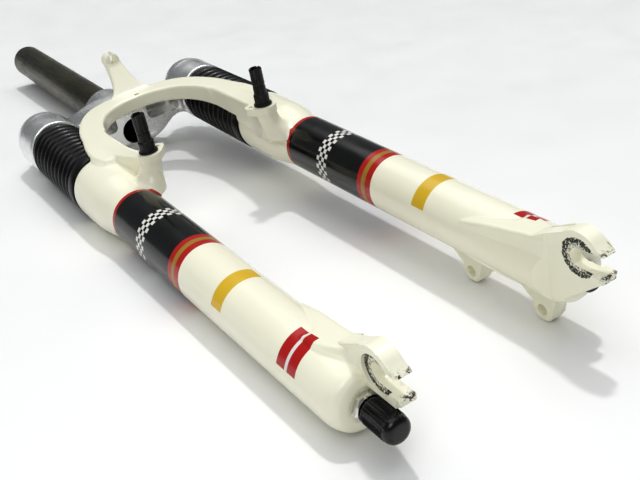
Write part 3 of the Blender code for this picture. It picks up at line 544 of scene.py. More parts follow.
# Lower casting -----------------------------------------------------------------------------------
# Both lower legs, the arch over the tyre, the brake bosses, the dropouts and the disc tabs are one
# pressure casting in magnesium. It is painted cream, printed, and then machined where parts bolt on.
LEG_TOP, LEG_FOOT, NECK_R = 0.0575, -0.2450, 0.0186
AXLE_Y, AXLE_Z, AXLE_SLOT = -0.253, 0.018, 0.0095
HUB_HALF, DROPOUT_THICK, HOOK_R = 0.050, 0.008, 0.0128
STUD_X, STUD_FACE, BOSS_SEAT_R = 0.040, 0.0312, 0.0082
EAR_X, EAR_Y, BOOT_GAP_R, GAP = -0.0072, 0.0032, 0.0220, 0.0003
PRINT_R, PRINT_REACH, CHECKS_LOW = 0.0167, 0.0181, -0.0577
leg_rows = [(0.0090, LEG_FOOT), (0.0122, -0.2443), (0.0143, -0.2425), (0.0155, -0.2395),
            (0.0161, -0.2355), (0.0162, -0.2300), (0.0162, -0.2250), (0.0170, -0.0080),
            (0.0174, -0.0040), (0.0181, 0.0010), (0.0190, 0.0070), (0.0198, 0.0130),
            (0.0202, 0.0200), (0.0204, 0.0280), (0.0204, 0.0400), (0.0202, 0.0460),
            (0.0198, 0.0482), (NECK_R, 0.0490), (NECK_R, LEG_TOP)]


def prism(work, outline, low, high, order, lip=0.0):
    """A closed slab between two heights; order puts (u, v, height) where it belongs."""
    ends = [[work.verts.new(order(u, v, h)) for u, v in outline] for h in (low, high)]
    join(work, ends[1], ends[0])
    caps = [work.faces.new(list(reversed(ends[0]))), work.faces.new(ends[1])]
    if lip:
        rims = {edge for cap in caps for edge in cap.edges}
        bmesh.ops.bevel(work, geom=list(rims), offset=lip, segments=3, affect="EDGES",
                        clamp_overlap=True)


def bow(cx, cy, radius, start, end, count):
    """Points on an arc, in degrees."""
    return [(cx + radius * math.cos(math.radians(start + (end - start) * i / count)),
             cy + radius * math.sin(math.radians(start + (end - start) * i / count)))
            for i in range(count + 1)]


def arch_rings():
    """Rings along the arch from the left foot over the top to the right foot."""
    half = [  # inner x and y, outer x and y, back, front
        (0.0420, 0.026, 0.0600, 0.030, 0.0060, 0.0232),
        (0.0415, 0.040, 0.0630, 0.046, 0.0070, 0.0240),
        (0.0412, 0.054, 0.0612, 0.062, 0.0095, 0.0245),
        (0.0411, 0.067, 0.0578, 0.076, 0.0105, 0.0245),
        (0.0404, 0.079, 0.0552, 0.089, 0.0105, 0.0245),
        (0.0386, 0.089, 0.0512, 0.101, 0.0110, 0.0245),
        (0.0345, 0.0992, 0.0446, 0.1145, 0.0120, 0.0244),
        (0.0282, 0.1082, 0.0358, 0.1255, 0.0128, 0.0242),
        (0.0200, 0.1148, 0.0245, 0.1322, 0.0134, 0.0240),
        (0.0100, 0.1184, 0.0120, 0.1350, 0.0138, 0.0240)]
    top = [(0.0, 0.1193, 0.0, 0.1355, 0.0138, 0.0240)]
    other = [(-a, b, -c, d, e, f) for a, b, c, d, e, f in reversed(half)]
    rings = []
    for a, b, c, d, back, front in smooth_through(half + top + other, 3):
        inner, across = Vector((a, b, 0)), Vector((c - a, d - b, 0))
        wide = across.length
        flat = soft_box((0, back), (wide, front), 0, 0.0022, "Z", 5)
        lean = 0.0016 if a * a < 0.0016 else 0.0
        rings.append([inner + Vector((0, 0, v)) + across.normalized()
                      * (u - lean * (v - back) / (front - back) * (u < wide / 2))
                      for u, v, _ in flat])
    return rings


def hanger_stations():
    """The cable hanger: a web that leaves the top of the arch and leans forward to its tip."""
    foot, tip = Vector((0.127, 0.0175)), Vector((0.1555, 0.0435))
    run = (tip - foot).normalized()
    thick = Vector((run.y, -run.x))
    rings = []
    for share, half, depth in smooth_through([(0.0, 0.0250, 0.0042), (0.14, 0.0175, 0.0040),
                                              (0.30, 0.0112, 0.0037), (0.5, 0.0083, 0.0034),
                                              (0.75, 0.0066, 0.0032), (1.0, 0.0058, 0.0030)], 3):
        middle = foot.lerp(tip, share)
        flat = soft_box((-half, -depth), (half, depth), 0, 0.0022, "Z", 4)
        rings.append([(u, middle.x + thick.x * v, middle.y + thick.y * v) for u, v, _ in flat])
    return rings


def lug_ring(side, grow=0.0):
    """The boss's flat seat: round, with an ear inboard for the brake spring's pin."""
    ear = Vector((EAR_X, EAR_Y))
    big, small = BOSS_SEAT_R + grow, 0.0040 + grow
    lean = math.atan2(ear.y, ear.x)
    opening = math.acos((big - small) / ear.length)
    lean, opening = math.degrees(lean), math.degrees(opening)
    ring = bow(0, 0, big, lean + opening, lean + 360 - opening, 28)
    ring += bow(ear.x, ear.y, small, lean - opening, lean + opening, 12)
    return [(side * (STUD_X + x), y) for x, y in ring]


def add_boss(work, side):
    column = [(0.0278, 0.0402, 0.000, 0.0073, 0.0073), (0.0240, 0.0410, 0.000, 0.0068, 0.0072),
              (0.0190, 0.0425, 0.000, 0.0072, 0.0082), (0.0140, 0.0450, -0.001, 0.0088, 0.0105),
              (0.0085, 0.0480, -0.001, 0.0115, 0.0140)]
    skin(work, [[(side * (x + rx * math.cos(t)), y + ry * math.sin(t), z)
                 for t in np.linspace(0, 2 * math.pi, 36, endpoint=False)]
                for z, x, y, rx, ry in smooth_through(column, 3)])
    rib = [(0.080, 0.0415, 0.0545, 0.0105, 0.0240), (0.060, 0.0412, 0.0548, 0.0075, 0.0243),
           (0.040, 0.0410, 0.0535, 0.0050, 0.0248), (0.024, 0.0400, 0.0510, 0.0050, 0.0258),
           (0.012, 0.0382, 0.0475, 0.0050, 0.0274), (0.003, 0.0365, 0.0448, 0.0060, 0.0285)]
    rings = []
    for y, x0, x1, back, front in smooth_through(rib, 3):
        rings.append([(side * x, v, z)
                      for x, v, z in soft_box((x0, back), (x1, front), y, 0.0014, "Y", 4)])
    skin(work, rings)


def dropout_ring():
    """The dropout's outline in Y and Z, without its axle slot."""
    end = AXLE_Y - 0.0145
    hook = bow(AXLE_Y, AXLE_Z, HOOK_R, 50, 140, 14)
    tip = [(end + 0.0012, AXLE_Z + 0.0064), (end + 0.0002, AXLE_Z + 0.0054), (end, AXLE_Z - 0.004),
           (end + 0.0004, AXLE_Z - 0.0080), (end + 0.0030, AXLE_Z - 0.0096)]
    return ([(AXLE_Y + 0.034, AXLE_Z - 0.0020)] + hook + tip
            + [(AXLE_Y + 0.0143, -0.0118), (AXLE_Y + 0.0200, -0.0128), (AXLE_Y + 0.034, -0.0125)])


def add_fairing(work, side):
    fairing = [(0.100, 0.0470, 0.0600, -0.0080, 0.0030), (0.083, 0.0462, 0.0630, -0.0095, 0.0085),
               (0.068, 0.0462, 0.0648, -0.0108, 0.0122), (0.055, 0.0468, 0.0656, -0.0118, 0.0150),
               (0.040, 0.0478, 0.0650, -0.0124, 0.0174), (0.028, 0.0484, 0.0625, -0.0126, 0.0192),
               (0.020, 0.0486, 0.0592, -0.0125, 0.0206), (0.013, 0.0487, 0.0576, -0.0118, 0.0215)]
    rings = []
    for rise, x0, x1, back, front in smooth_through(fairing, 3):
        rings.append([(side * x, y, z)
                      for x, y, z in soft_box((x0, back), (x1, front), AXLE_Y + rise, 0.0018,
                                              "Y", 5)])
    skin(work, rings)


TAB_X, TAB_THICK, TAB_Z, TAB_R, TAB_HOLE_R = 0.0543, 0.0087, -0.0262, 0.0066, 0.0031
tab_heights = [own(mounts["disc_tab_" + which]["pos_m"]).y + 0.0048 for which in ("upper", "lower")]
casting_voxel = 0.0008
work = bmesh.new()
for side in SIDES.values():
    lathe(work, [(0, LEG_TOP)] + leg_rows[::-1] + [(0, LEG_FOOT)], x=side * leg_x)
    add_boss(work, side)
    add_fairing(work, side)
skin(work, arch_rings())
skin(work, hanger_stations())
lathe(work, [(0, 0.1600), (0.0050, 0.1600), (0.0056, 0.1590), (0.0056, 0.1510), (0.0050, 0.1500),
             (0, 0.1500)], z=0.0440, steps=40)
casting = cast_together(work, "lower_casting_painted", casting_voxel, 3)


def keep_crisp(place):
    """True round the necks under the boots, where no metal may gather."""
    return (place[:, 1] > 0.0470) & (np.abs(np.abs(place[:, 0]) - leg_x) < 0.0205) & (
        np.hypot(np.abs(place[:, 0]) - leg_x, place[:, 2]) < 0.0225)


fill_valleys(casting, 70, keep_crisp)
snap_round(casting, leg_rows[4:-3], [(side * leg_x, 0) for side in SIDES.values()])


def seen_from_side(u, v, h):
    """Places an outline drawn in Y and Z."""
    return h, u, v


def seen_from_front(u, v, h):
    """Places an outline drawn in X and Y."""
    return u, v, h


def slab(name, outline, low, high, order, lip=0.0):
    work = bmesh.new()
    prism(work, outline, low, high, order, lip)
    return to_object(work, name)


def across_hole(name, radius, y, z, low, high, steps=48):
    """A round cutter parallel to X."""
    ring = bow(y, z, radius, 0, 360 - 360 / steps, steps - 1)
    return slab(name, ring, low, high, seen_from_side)


def front_hole(name, radius, x, y, low, high, steps=48):
    """A round cutter parallel to Z."""
    ring = bow(x, y, radius, 0, 360 - 360 / steps, steps - 1)
    return slab(name, ring, low, high, seen_from_front)


plates = []
for side in SIDES.values():
    low, high = sorted((side * (HUB_HALF - 0.0012), side * (HUB_HALF + DROPOUT_THICK)))
    plates.append(slab("dropout_plate", dropout_ring(), low, high, seen_from_side, 0.0008))
    plates.append(slab("boss_plate", lug_ring(side), STUD_FACE - 0.0046, STUD_FACE,
                       seen_from_front, 0.0005))
for height in tab_heights:
    outline = [(height + 0.0270, -0.0080)] + bow(height, TAB_Z, TAB_R, 35, -160, 18)
    outline += [(height - 0.0125, -0.0080)]
    plates.append(slab("disc_tab", outline, TAB_X, TAB_X + TAB_THICK, seen_from_side, 0.0009))
carve(casting, plates, "UNION")

bore_r, lower_bore_r, leg_floor = 0.0153, 0.0146, LEG_FOOT + 0.0165
for label, side in SIDES.items():
    x = side * leg_x
    work = bmesh.new()
    lathe(work, [(0, 0.178), (BOOT_GAP_R, 0.178), (BOOT_GAP_R, 0.0487), (NECK_R, 0.0487),
                 (NECK_R, LEG_TOP), (bore_r, LEG_TOP), (bore_r, -0.0953), (lower_bore_r, -0.0963),
                 (lower_bore_r, leg_floor), (0, leg_floor)], x=x)
    cutters = [to_object(work, "leg_inside")]
    foot_r = 0.0033 if side == LEFT else 0.0053
    cutters.append(plug("foot_hole", foot_r, LEG_FOOT - 0.01, leg_floor + 0.002, x))
    cutters.append(plug("foot_face", 0.0084, LEG_FOOT - 0.04, LEG_FOOT + GAP, x))
    cutters.append(front_hole("stud_hole", 0.0043, side * STUD_X, 0, STUD_FACE - 0.0103, 0.06))
    cutters.append(front_hole("stud_face_cut", 0.0079, side * STUD_X, 0, STUD_FACE - 0.0001, 0.06))
    cutters.append(front_hole("pin_hole", 0.00125, side * (STUD_X + EAR_X), EAR_Y,
                              STUD_FACE - 0.006, 0.06, 24))
    face_top, inner_x, low = leg_floor - 0.0005, 0.030, AXLE_Y - 0.03
    shave = [(HUB_HALF, low), (HUB_HALF, face_top - 0.0060), (HUB_HALF - 0.0060, face_top),
             (inner_x, face_top + 0.0005), (inner_x, low)]
    cutters.append(slab("hub_room", [(side * u, v) for u, v in shave], -0.05, 0.05,
                        seen_from_front))
    work = bmesh.new()
    pit = Matrix.Translation((side * 0.0435, -0.0030, 0.0120))
    pit = pit @ Matrix.Diagonal((0.0030, 0.0026, 0.0024, 1))
    bmesh.ops.create_icosphere(work, subdivisions=3, radius=1.0, matrix=pit)
    cutters.append(to_object(work, "core_pit"))
    slot = ([(AXLE_Y - 0.03, AXLE_Z + AXLE_SLOT / 2 + 0.0012)]
            + bow(AXLE_Y, AXLE_Z, AXLE_SLOT / 2, 90, -90, 24)
            + [(AXLE_Y - 0.03, AXLE_Z - AXLE_SLOT / 2)])
    low, high = sorted((side * 0.030, side * 0.080))
    cutters.append(slab("axle_slot", slot, low, high, seen_from_side))
    low, high = sorted((side * (HUB_HALF + DROPOUT_THICK - 0.0016), side * 0.0690))
    recess = bow(AXLE_Y, AXLE_Z, 0.0092, 0, 354, 59)
    cutters.append(slab("nut_recess", recess, low, high, seen_from_side))
    carve(casting, cutters)
cutters = [across_hole("tab_hole", TAB_HOLE_R, height, TAB_Z, TAB_X - 0.01, TAB_X + TAB_THICK + 0.01)
           for height in tab_heights]
cutters.append(plug("cable_bore", 0.0019, 0.140, 0.170, 0, 0.0440, 24))
cutters.append(plug("cable_seat", 0.0030, 0.1545, 0.170, 0, 0.0440, 32))
cable_slot = [(-0.0013, 0.140), (0.0013, 0.140), (0.0013, 0.170), (-0.0013, 0.170)]
cutters.append(slab("cable_slot", cable_slot, 0.0440, 0.056, seen_from_front))
drain = [(x * 1.5 + 0.0012, y + 0.1222) for x, y in bow(0, 0, 0.0014, 0, 345, 23)]
cutters.append(slab("drain", drain, 0.0150, 0.030, seen_from_front))
carve(casting, cutters)


def keep_largest(made):
    """Drops loose scraps that the cutting left beside the main skin."""
    work = bmesh.new()
    work.from_mesh(made.data)
    groups, seen = [], set()
    for start in work.verts:
        if start in seen:
            continue
        seen.add(start)
        group = [start]
        for vert in group:
            for edge in vert.link_edges:
                other = edge.other_vert(vert)
                if other not in seen:
                    seen.add(other)
                    group.append(other)
        groups.append(group)
    groups.sort(key=len)
    bmesh.ops.delete(work, geom=[vert for group in groups[:-1] for vert in group], context="VERTS")
    work.to_mesh(made.data)
    work.free()


keep_largest(casting)
crisp_above(casting, 42)


def between(value, low, high):
    """1 where value lies from low to high."""
    return (value > low) * (value < high)


def make_print_group():
    """The coloured bands and panels on the legs, laid out round each leg and along it."""
    group, into, out = new_group("leg_print", {"Place": "Vector"},
                                 {"Colour": "Color", "Mask": "Float"})
    x, v, z = add(group, "SeparateXYZ", {}, into["Place"])
    side = x.math("SIGN")
    beside = x - side * leg_x
    u = beside.math("ARCTAN2", z) * PRINT_R
    u_out = u * side
    cream, black, red = (0.80, 0.77, 0.63), (0.004, 0.004, 0.004), (0.45, 0.012, 0.010)
    white, gold, yellow = (0.80, 0.79, 0.74), (0.36, 0.22, 0.030), (0.72, 0.47, 0.03)

    def panel(around, u0, u1, v0, v1):
        return between(around, u0, u1) * between(v, v0, v1)

    def stripes(value, per_metre):
        return (value * per_metre).math("FRACT") < 0.5

    # The black band between red edges, with a gold line in its lower edge.
    laid = between(v, -0.1030, -0.0120)
    colour = over(cream, laid, red)
    colour = over(colour, between(v, -0.0900, -0.0150), black)
    colour = over(colour, between(v, -0.0978, -0.0942), gold)

    # A strip of plain checks all the way round the band, of 20 pairs of squares.
    around_leg = 20 / (2 * math.pi * PRINT_R)
    checks = (stripes(u, around_leg) - stripes(v, around_leg)).math("ABSOLUTE")
    colour = over(colour, checks * between(v, CHECKS_LOW, CHECKS_LOW + 2 / around_leg), white)

    # A plain yellow block below the band, and a plain red one with a white rule by the dropout.
    for paint, shape in (
            (yellow, panel(u, -0.0200, 0.0100, -0.1500, -0.1400)),
            (red, panel(u_out, 0.0000, 0.0205, -0.2170, -0.2020)),
            (white, panel(u_out, 0.0000, 0.0205, -0.2105, -0.2085))):
        colour, laid = over(colour, shape, paint), laid.math("MAXIMUM", shape)
    feed(out.inputs["Colour"], colour)
    feed(out.inputs["Mask"], laid * (beside * beside + z * z < PRINT_REACH ** 2))
    return group


def paint_finish():
    finish = Finish("cream_paint", Roughness=0.20)
    tree, here = finish.tree, finish.here
    x, y, z = add(tree, "SeparateXYZ", {}, here)
    specks, drift = marks_on(finish, 420.0, 0.25, 14.0)
    fine, ragged = noise_at(here, 900.0, 4.0, 0.7), noise_at(here, 420.0, 4.0, 0.7)
    base = over((0.92, 0.895, 0.715), spread(drift, 0.35, 0.70), (0.96, 0.94, 0.765))
    colour, printed = add(tree, "Group", {"node_tree": make_print_group()}, here)
    base = over(base, printed, colour)

    # Where the hub's nuts and washers bit through the paint: bare metal, in a ring of dark crust.
    dy, dz = y - AXLE_Y, z - AXLE_Z
    from_axle = (dy * dy + dz * dz).math("SQRT") + (ragged - 0.5) * 0.0035
    facing = add(tree, "SeparateXYZ", {}, add(tree, "TexCoord", {})["Normal"])[0].math("ABSOLUTE")
    plate = between(x.math("ABSOLUTE"), HUB_HALF - 0.0008, HUB_HALF + DROPOUT_THICK - 0.0008)
    plate = plate * spread(facing, 0.70, 0.85)
    crust = between(from_axle, 0.0068, 0.0096) * plate
    bare = (from_axle < 0.0072) * plate
    base = over(base, bare * spread(fine, 0.42, 0.55), (0.30, 0.29, 0.25))
    base = over(base, crust * spread(fine, 0.38, 0.46), (0.022, 0.021, 0.018))

    # Chips on the hooks' tips and a little on every other edge.
    sharp = add(tree, "NewGeometry", {})["Pointiness"]
    tips = spread(y, -0.2640, -0.2668) * spread(ragged, 0.52, 0.55) * spread(sharp, 0.53, 0.56)
    chips = tips.math("MAXIMUM", worn_edges(finish, 380.0, 0.30) * 0.12)
    base = over(base, chips, (0.035, 0.032, 0.026))
    base = over(base, specks * 0.75, (0.10, 0.08, 0.05))
    scarred = crust.math("MAXIMUM", chips)
    gloss = spread(noise_at(here, 70.0), 0.3, 0.7, 0.14, 0.24)
    finish.set(Base_Color=base, Roughness=gloss.math("MAXIMUM", scarred * 0.6))
    finish.bump(noise_at(here, 120.0, 2.0) * 0.08 - scarred * 0.8, 0.2, 0.00012)
    return finish.material


fit(casting, paint_finish(), "lowers", "cream_paint", "lower_casting")

# Brake studs -------------------------------------------------------------------------------------
# Two turned steel studs, blackened in oil, screwed into the bosses. Each has a flange that seats on
# the casting, a collar that a spanner grips, and a hollow end that is threaded for the arm's screw.
STUD_R, STUD_LENGTH = 0.0040, 0.024


def black_oxide_finish():
    finish = Finish("black_oxide", Roughness=0.26, Specular_IOR_Level=0.35)
    specks, drift = marks_on(finish, 800.0, 0.8, 90.0)
    base = over((0.003, 0.003, 0.003), spread(drift, 0.4, 0.7), (0.009, 0.009, 0.008))
    base = over(base, worn_edges(finish, 500.0, 0.45) * 0.35, (0.12, 0.115, 0.11))
    base = over(base, specks * 0.4, (0.10, 0.06, 0.03))
    finish.set(Base_Color=base, Roughness=spread(drift, 0.35, 0.7, 0.26, 0.45))
    finish.bump(noise_at(finish.here, 1500.0), 0.3, 0.00002)
    return finish.material


BLACKENED = black_oxide_finish()
seat = STUD_FACE + GAP
tip = seat + STUD_LENGTH
threads = []
for i in range(15):
    threads += [(0.00245, tip - 0.0014 - 0.0008 * i), (0.00278, tip - 0.0018 - 0.0008 * i)]
stud_profile = ([(0.0029, tip), (STUD_R - 0.0006, tip), (STUD_R, tip - 0.0006),
                 (STUD_R, seat + 0.0136),
                 (STUD_R - 0.0003, seat + 0.0133), (STUD_R - 0.0003, seat + 0.0122),
                 (STUD_R, seat + 0.0119), (STUD_R, seat + 0.0072), (0.0045, seat + 0.0069),
                 (0.0048, seat + 0.0064),
                 (0.0048, seat + 0.0014), (0.0050, seat + 0.0010), (0.0055, seat + 0.0010),
                 (0.0058, seat + 0.0007), (0.0058, seat), (STUD_R, seat),
                 (STUD_R, STUD_FACE - 0.0098),
                 (0, STUD_FACE - 0.0098)], [(0, tip - 0.0142), (0.0024, tip - 0.0138)] + threads[::-1]
                + [(0.00262, tip - 0.0006)])
for label, side in SIDES.items():
    work = bmesh.new()
    lathe(work, stud_profile[1] + stud_profile[0], steps=64)
    bmesh.ops.transform(work, verts=work.verts, matrix=Matrix.Translation((side * STUD_X, 0, 0))
                        @ Matrix.Rotation(math.pi / 2, 4, "X"))
    stud = to_object(work, "brake_stud_turned_" + label, 30)
    flats = []
    for turn in (0.35, 0.35 + math.pi):
        work = bmesh.new()
        place = Matrix.Translation((side * STUD_X, 0, seat + 0.0036))
        place = place @ Matrix.Rotation(turn, 4, "Z") @ Matrix.Translation((0.0059, 0, 0))
        bmesh.ops.create_cube(work, size=1.0,
                              matrix=place @ Matrix.Diagonal((0.003, 0.012, 0.0032, 1)))
        flats.append(to_object(work, "spanner_flat"))
    work = bmesh.new()
    place = Matrix.Translation((side * STUD_X, 0, tip)) @ Matrix.Rotation(0.6, 4, "Z")
    bmesh.ops.create_cube(work, size=1.0,
                          matrix=place @ Matrix.Diagonal((0.0095, 0.0013, 0.0016, 1)))
    flats.append(to_object(work, "end_slot"))
    carve(stud, flats)
    crisp_above(stud, 30)
    fit(stud, BLACKENED, "lowers", "black_oxide", "brake_stud_" + label)

# Boots -------------------------------------------------------------------------------------------
# Moulded rubber bellows that keep grit off the stanchions. The lower cuff stretches over the leg's neck
# and the upper one grips the stanchion under the crown. On the fork the pleats fold up as it closes; here they are
# drawn open.
BOOT_R, BOOT_VALLEY, PLEATS, SKIN = 0.0208, 0.0174, 10, 0.0011
travel = joints["fork_slide"]["range_m"][1]
boot_foot, boot_head = LEG_TOP - 0.0080 + GAP, crown_bottom - GAP
pleats_low, pleats_high = boot_foot + 0.0085, boot_head - 0.0035
cuff_profile = [(0.0190, boot_foot), (0.0190, LEG_TOP + GAP), (0.0166, LEG_TOP + GAP),
                (0.0166, pleats_low - 0.0001), (0.0198, pleats_low - 0.0001),
                (0.0206, pleats_low - 0.0006), (0.0207, pleats_low - 0.0013),
                (0.0207, boot_foot + 0.0009), (0.0203, boot_foot)]


def pleat_profile():
    """The bellows' outside from its head down, then its inside back up."""
    pitch = (pleats_high - pleats_low) / PLEATS
    outer = [(0.0170, boot_head), (0.0176, boot_head - 0.0006), (0.0176, pleats_high + 0.0008)]
    inner = [(0.0146, boot_head), (0.0146, pleats_high)]
    for i in range(PLEATS):
        for k in range(10):
            height = pleats_high - (i + k / 10) * pitch
            swell = math.sin(math.pi * k / 10) ** 0.75
            outer.append((BOOT_VALLEY + (BOOT_R - BOOT_VALLEY) * swell, height))
            if k % 2 == 0 and pleats_low + 0.0006 < height < pleats_high - 0.0010:
                inner.append((BOOT_VALLEY - SKIN + (BOOT_R - BOOT_VALLEY - 0.0002) * swell, height))
    return outer + [(BOOT_VALLEY, pleats_low), (BOOT_VALLEY - SKIN, pleats_low)] + inner[::-1]


def boot_finish():
    finish = Finish("bellows_rubber", Roughness=0.30, Specular_IOR_Level=0.3)
    specks, drift = marks_on(finish, 900.0, 1.0, 45.0)
    pebbles = noise_at(finish.here, 700.0, 4.0, 0.6)
    base = over((0.003, 0.003, 0.003), spread(drift, 0.5, 0.8, 0.0, 0.3), (0.02, 0.019, 0.017))
    base = over(base, specks * 0.3, (0.12, 0.11, 0.10))
    finish.set(Base_Color=base, Roughness=spread(pebbles, 0.3, 0.7, 0.24, 0.38))
    finish.bump(pebbles, 0.25, 0.00002)
    return finish.material


BELLOWS = boot_finish()
pleats_length = boot_head - pleats_low
for label, side in SIDES.items():
    work = bmesh.new()
    lathe(work, cuff_profile, x=side * leg_x, ring=True)
    fit(to_object(work, "boot_cuff_" + label, 60), BELLOWS, "lowers", "black_rubber")
    work = bmesh.new()
    lathe(work, pleat_profile(), x=side * leg_x, ring=True)
    boot = to_object(work, "boot_pleated_" + label, 60)
    fit(boot, BELLOWS, "upper", "black_rubber", "boot_" + label)
    (pleats_length - travel) / pleats_length
    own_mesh(boot)

# Foot of the right leg: collar nut and rebound knob ----------------------------------------------
# A plated nut holds the damper's shaft in the leg. A ribbed rubber-covered knob below it turns a rod
# inside that shaft, which opens or closes the rebound valve.
knob_middle = own(joints["rebound_turn"]["pos_m"]).y
KNOB_LENGTH, KNOB_R, COLLAR_R, COLLAR_H = 0.0190, 0.0064, 0.0076, 0.0040
knob_top, knob_end = knob_middle + KNOB_LENGTH / 2, knob_middle - KNOB_LENGTH / 2
collar_low = knob_top + GAP


def worked_metal(name, colour, dark, roughness, along_scale, across_scale, wear=0.4):
    """Turned, drawn or ground metal: grain in its gloss, dull patches and rubbed bright edges."""
    finish = Finish(name, Roughness=roughness, Metallic=1.0)
    grain = grain_on(finish, along_scale, across_scale)
    specks, drift = marks_on(finish, 700.0, 0.6, 30.0)
    base = over(dark, spread(drift, 0.3, 0.7), colour)
    base = over(base, specks, tuple(c * 0.45 for c in dark))
    base = over(base, worn_edges(finish, 400.0, wear) * 0.6,
                tuple(min(1, c * 1.25 + 0.1) for c in colour))
    rough = spread(grain * 0.5 + drift * 0.5, 0.3, 0.75, roughness * 0.75,
                   min(1.0, roughness * 1.5 + 0.03))
    finish.set(Base_Color=base, Roughness=rough)
    finish.bump(grain, 0.35, 0.00002)
    return finish.material


BRIGHT = worked_metal("bright_plating", (0.88, 0.88, 0.87), (0.62, 0.61, 0.58), 0.14, 200.0, 900.0,
                      wear=0.5)


def hex_nut(name, corner_r, bore, low, high, x, flats=6, chamfer=0.0007):
    """A nut with chamfered corners, as a ring of flats round a bore."""
    apothem = corner_r * math.cos(math.pi / flats)
    flat_angle = 2 * math.pi / flats

    def side_of_nut(t, radius):
        return min(radius, apothem / math.cos((t + flat_angle / 2) % flat_angle - flat_angle / 2))

    work = bmesh.new()
    lathe(work, [(apothem - 0.0002, high), (corner_r, high - chamfer), (corner_r, low + chamfer),
                 (apothem - 0.0002, low), (bore, low), (bore, high)],
          x=x, steps=flats * 8, ring=True, reach=side_of_nut)
    return to_object(work, name, 20)


collar = hex_nut("rebound_collar_nut", COLLAR_R, 0.0052, collar_low, collar_low + COLLAR_H, -leg_x)
fit(collar, BRIGHT, "lowers", "bright_steel", "rebound_collar")


def ribbed_knob(name, radius, low, high, x, ribs, rib_height, bore, bore_depth, dome):
    """A knob with raised ribs round its side, which fade out before its rounded end."""
    def ribbed(t, r, rise):
        return r - rib_height * 0.6 * rise + rib_height * rise * max(0.0, math.cos(ribs * t))

    rows = [(bore, high - bore_depth, 0.0), (bore, high, 0.0), (radius - 0.0009, high, 0.0),
            (radius - 0.0002, high - 0.0005, 0.0), (radius, high - 0.0012, 0.0),
            (radius, high - 0.0016, 0.6), (radius, high - 0.0022, 1.0),
            (radius, low + dome + 0.0016, 1.0), (radius, low + dome + 0.0009, 0.5),
            (radius, low + dome, 0.0)]
    rows += [(radius - dome * (1 - math.cos(t)), low + dome * (1 - math.sin(t)), 0.0)
             for t in np.radians((15, 30, 45, 60, 75, 88))]
    work = bmesh.new()
    made = lathe(work, rows, x=x, steps=ribs * 10, reach=ribbed)
    work.faces.new(made[0])
    work.faces.new(made[-1])
    return to_object(work, name, 45)


def moulded(name, colour, roughness, depth=0.00003, scale=900.0, dust=0.25,
            dust_colour=(0.45, 0.43, 0.38)):
    """Moulded plastic or rubber: a fine pebbled skin with dust lying on it here and there."""
    finish = Finish(name, Roughness=roughness)
    specks, drift = marks_on(finish, 1100.0, 0.8, 35.0)
    pebbles = noise_at(finish.here, scale, 4.0, 0.65)
    base = over(colour, spread(drift, 0.45, 0.75) * dust, dust_colour)
    base = over(base, specks * 0.6, dust_colour)
    finish.set(Base_Color=base, Roughness=spread(pebbles, 0.3, 0.7, roughness * 0.8,
                                                 min(1.0, roughness * 1.35)))
    finish.bump(pebbles, 0.5, depth)
    return finish.material


knob = ribbed_knob("rebound_knob_ribbed", KNOB_R, knob_end, knob_top, -leg_x, 26, 0.00065, 0.0022,
                   KNOB_LENGTH - 0.004, 0.0032)
KNOB_RUBBER = moulded("knob_rubber", (0.002, 0.002, 0.002), 0.24, 0.000004, 1400.0, 0.5,
                      (0.012, 0.012, 0.012))
fit(knob, KNOB_RUBBER, "rebound_adjuster", "black_rubber", "rebound_knob")

# Foot of the left leg: washer and bolt -----------------------------------------------------------
# A cap-head bolt with a hexagon socket pulls the spring shaft down onto the leg's floor. A plated
# washer keeps its head from biting into the casting.
foot_face = LEG_FOOT + GAP
washer_top, washer_low = foot_face - GAP, foot_face - 0.0013
work = bmesh.new()
lathe(work, rounded(0.0076, washer_top, 0.0003)
      + [(0.0076, washer_low + 0.0002), (0.0074, washer_low), (0.0033, washer_low),
         (0.0033, washer_top)], x=leg_x, ring=True)
fit(to_object(work, "foot_washer_plated"), BRIGHT, "lowers", "bright_steel", "foot_washer")
head_top, head_low = washer_low - GAP, washer_low - 0.0058
work = bmesh.new()
lathe(work, [(0, leg_floor + 0.0138), (0.0026, leg_floor + 0.0138), (0.0030, leg_floor + 0.0132),
             (0.0030, head_top), (0.0054, head_top), (0.0058, head_top - 0.0003),
             (0.0058, head_low + 0.0008), (0.0050, head_low), (0, head_low)], x=leg_x)
bolt = to_object(work, "foot_bolt_head", 30)
carve(bolt, [plug("hexagon_socket", 0.0034, head_low - 0.01, head_low + 0.0035, leg_x, steps=6)])
crisp_above(bolt, 30)
fit(bolt, BLACKENED, "lowers", "black_oxide", "foot_bolt")

# Tops of the legs: stanchions, caps and preload knobs --------------------------------------------
# The stanchions are drawn steel tubes pressed into the crown. A threaded cap closes each, and a knob
# on it turns a screw that squeezes the main spring.
TUBE_METAL = worked_metal("ground_tube", (0.60, 0.60, 0.59), (0.40, 0.40, 0.39), 0.2, 900.0, 80.0)
BLACK_MOULDING = moulded("black_moulding", (0.016, 0.016, 0.017), 0.42)
CAP_METAL = worked_metal("turned_cap", (0.72, 0.72, 0.71), (0.45, 0.45, 0.43), 0.22, 150.0,
                         1800.0, wear=0.6)
cap_top = own(cap_left).y - GAP
flange_low = cap_top - 0.0040
KNOB_H, FLUTES, FLUTE_DEPTH = 0.0070, 12, 0.0009


def fluted(t, radius, share):
    """Finger flutes round the side of a knob, as deep as share says."""
    return radius - FLUTE_DEPTH * share * max(0.0, -math.cos(FLUTES * t)) ** 0.8


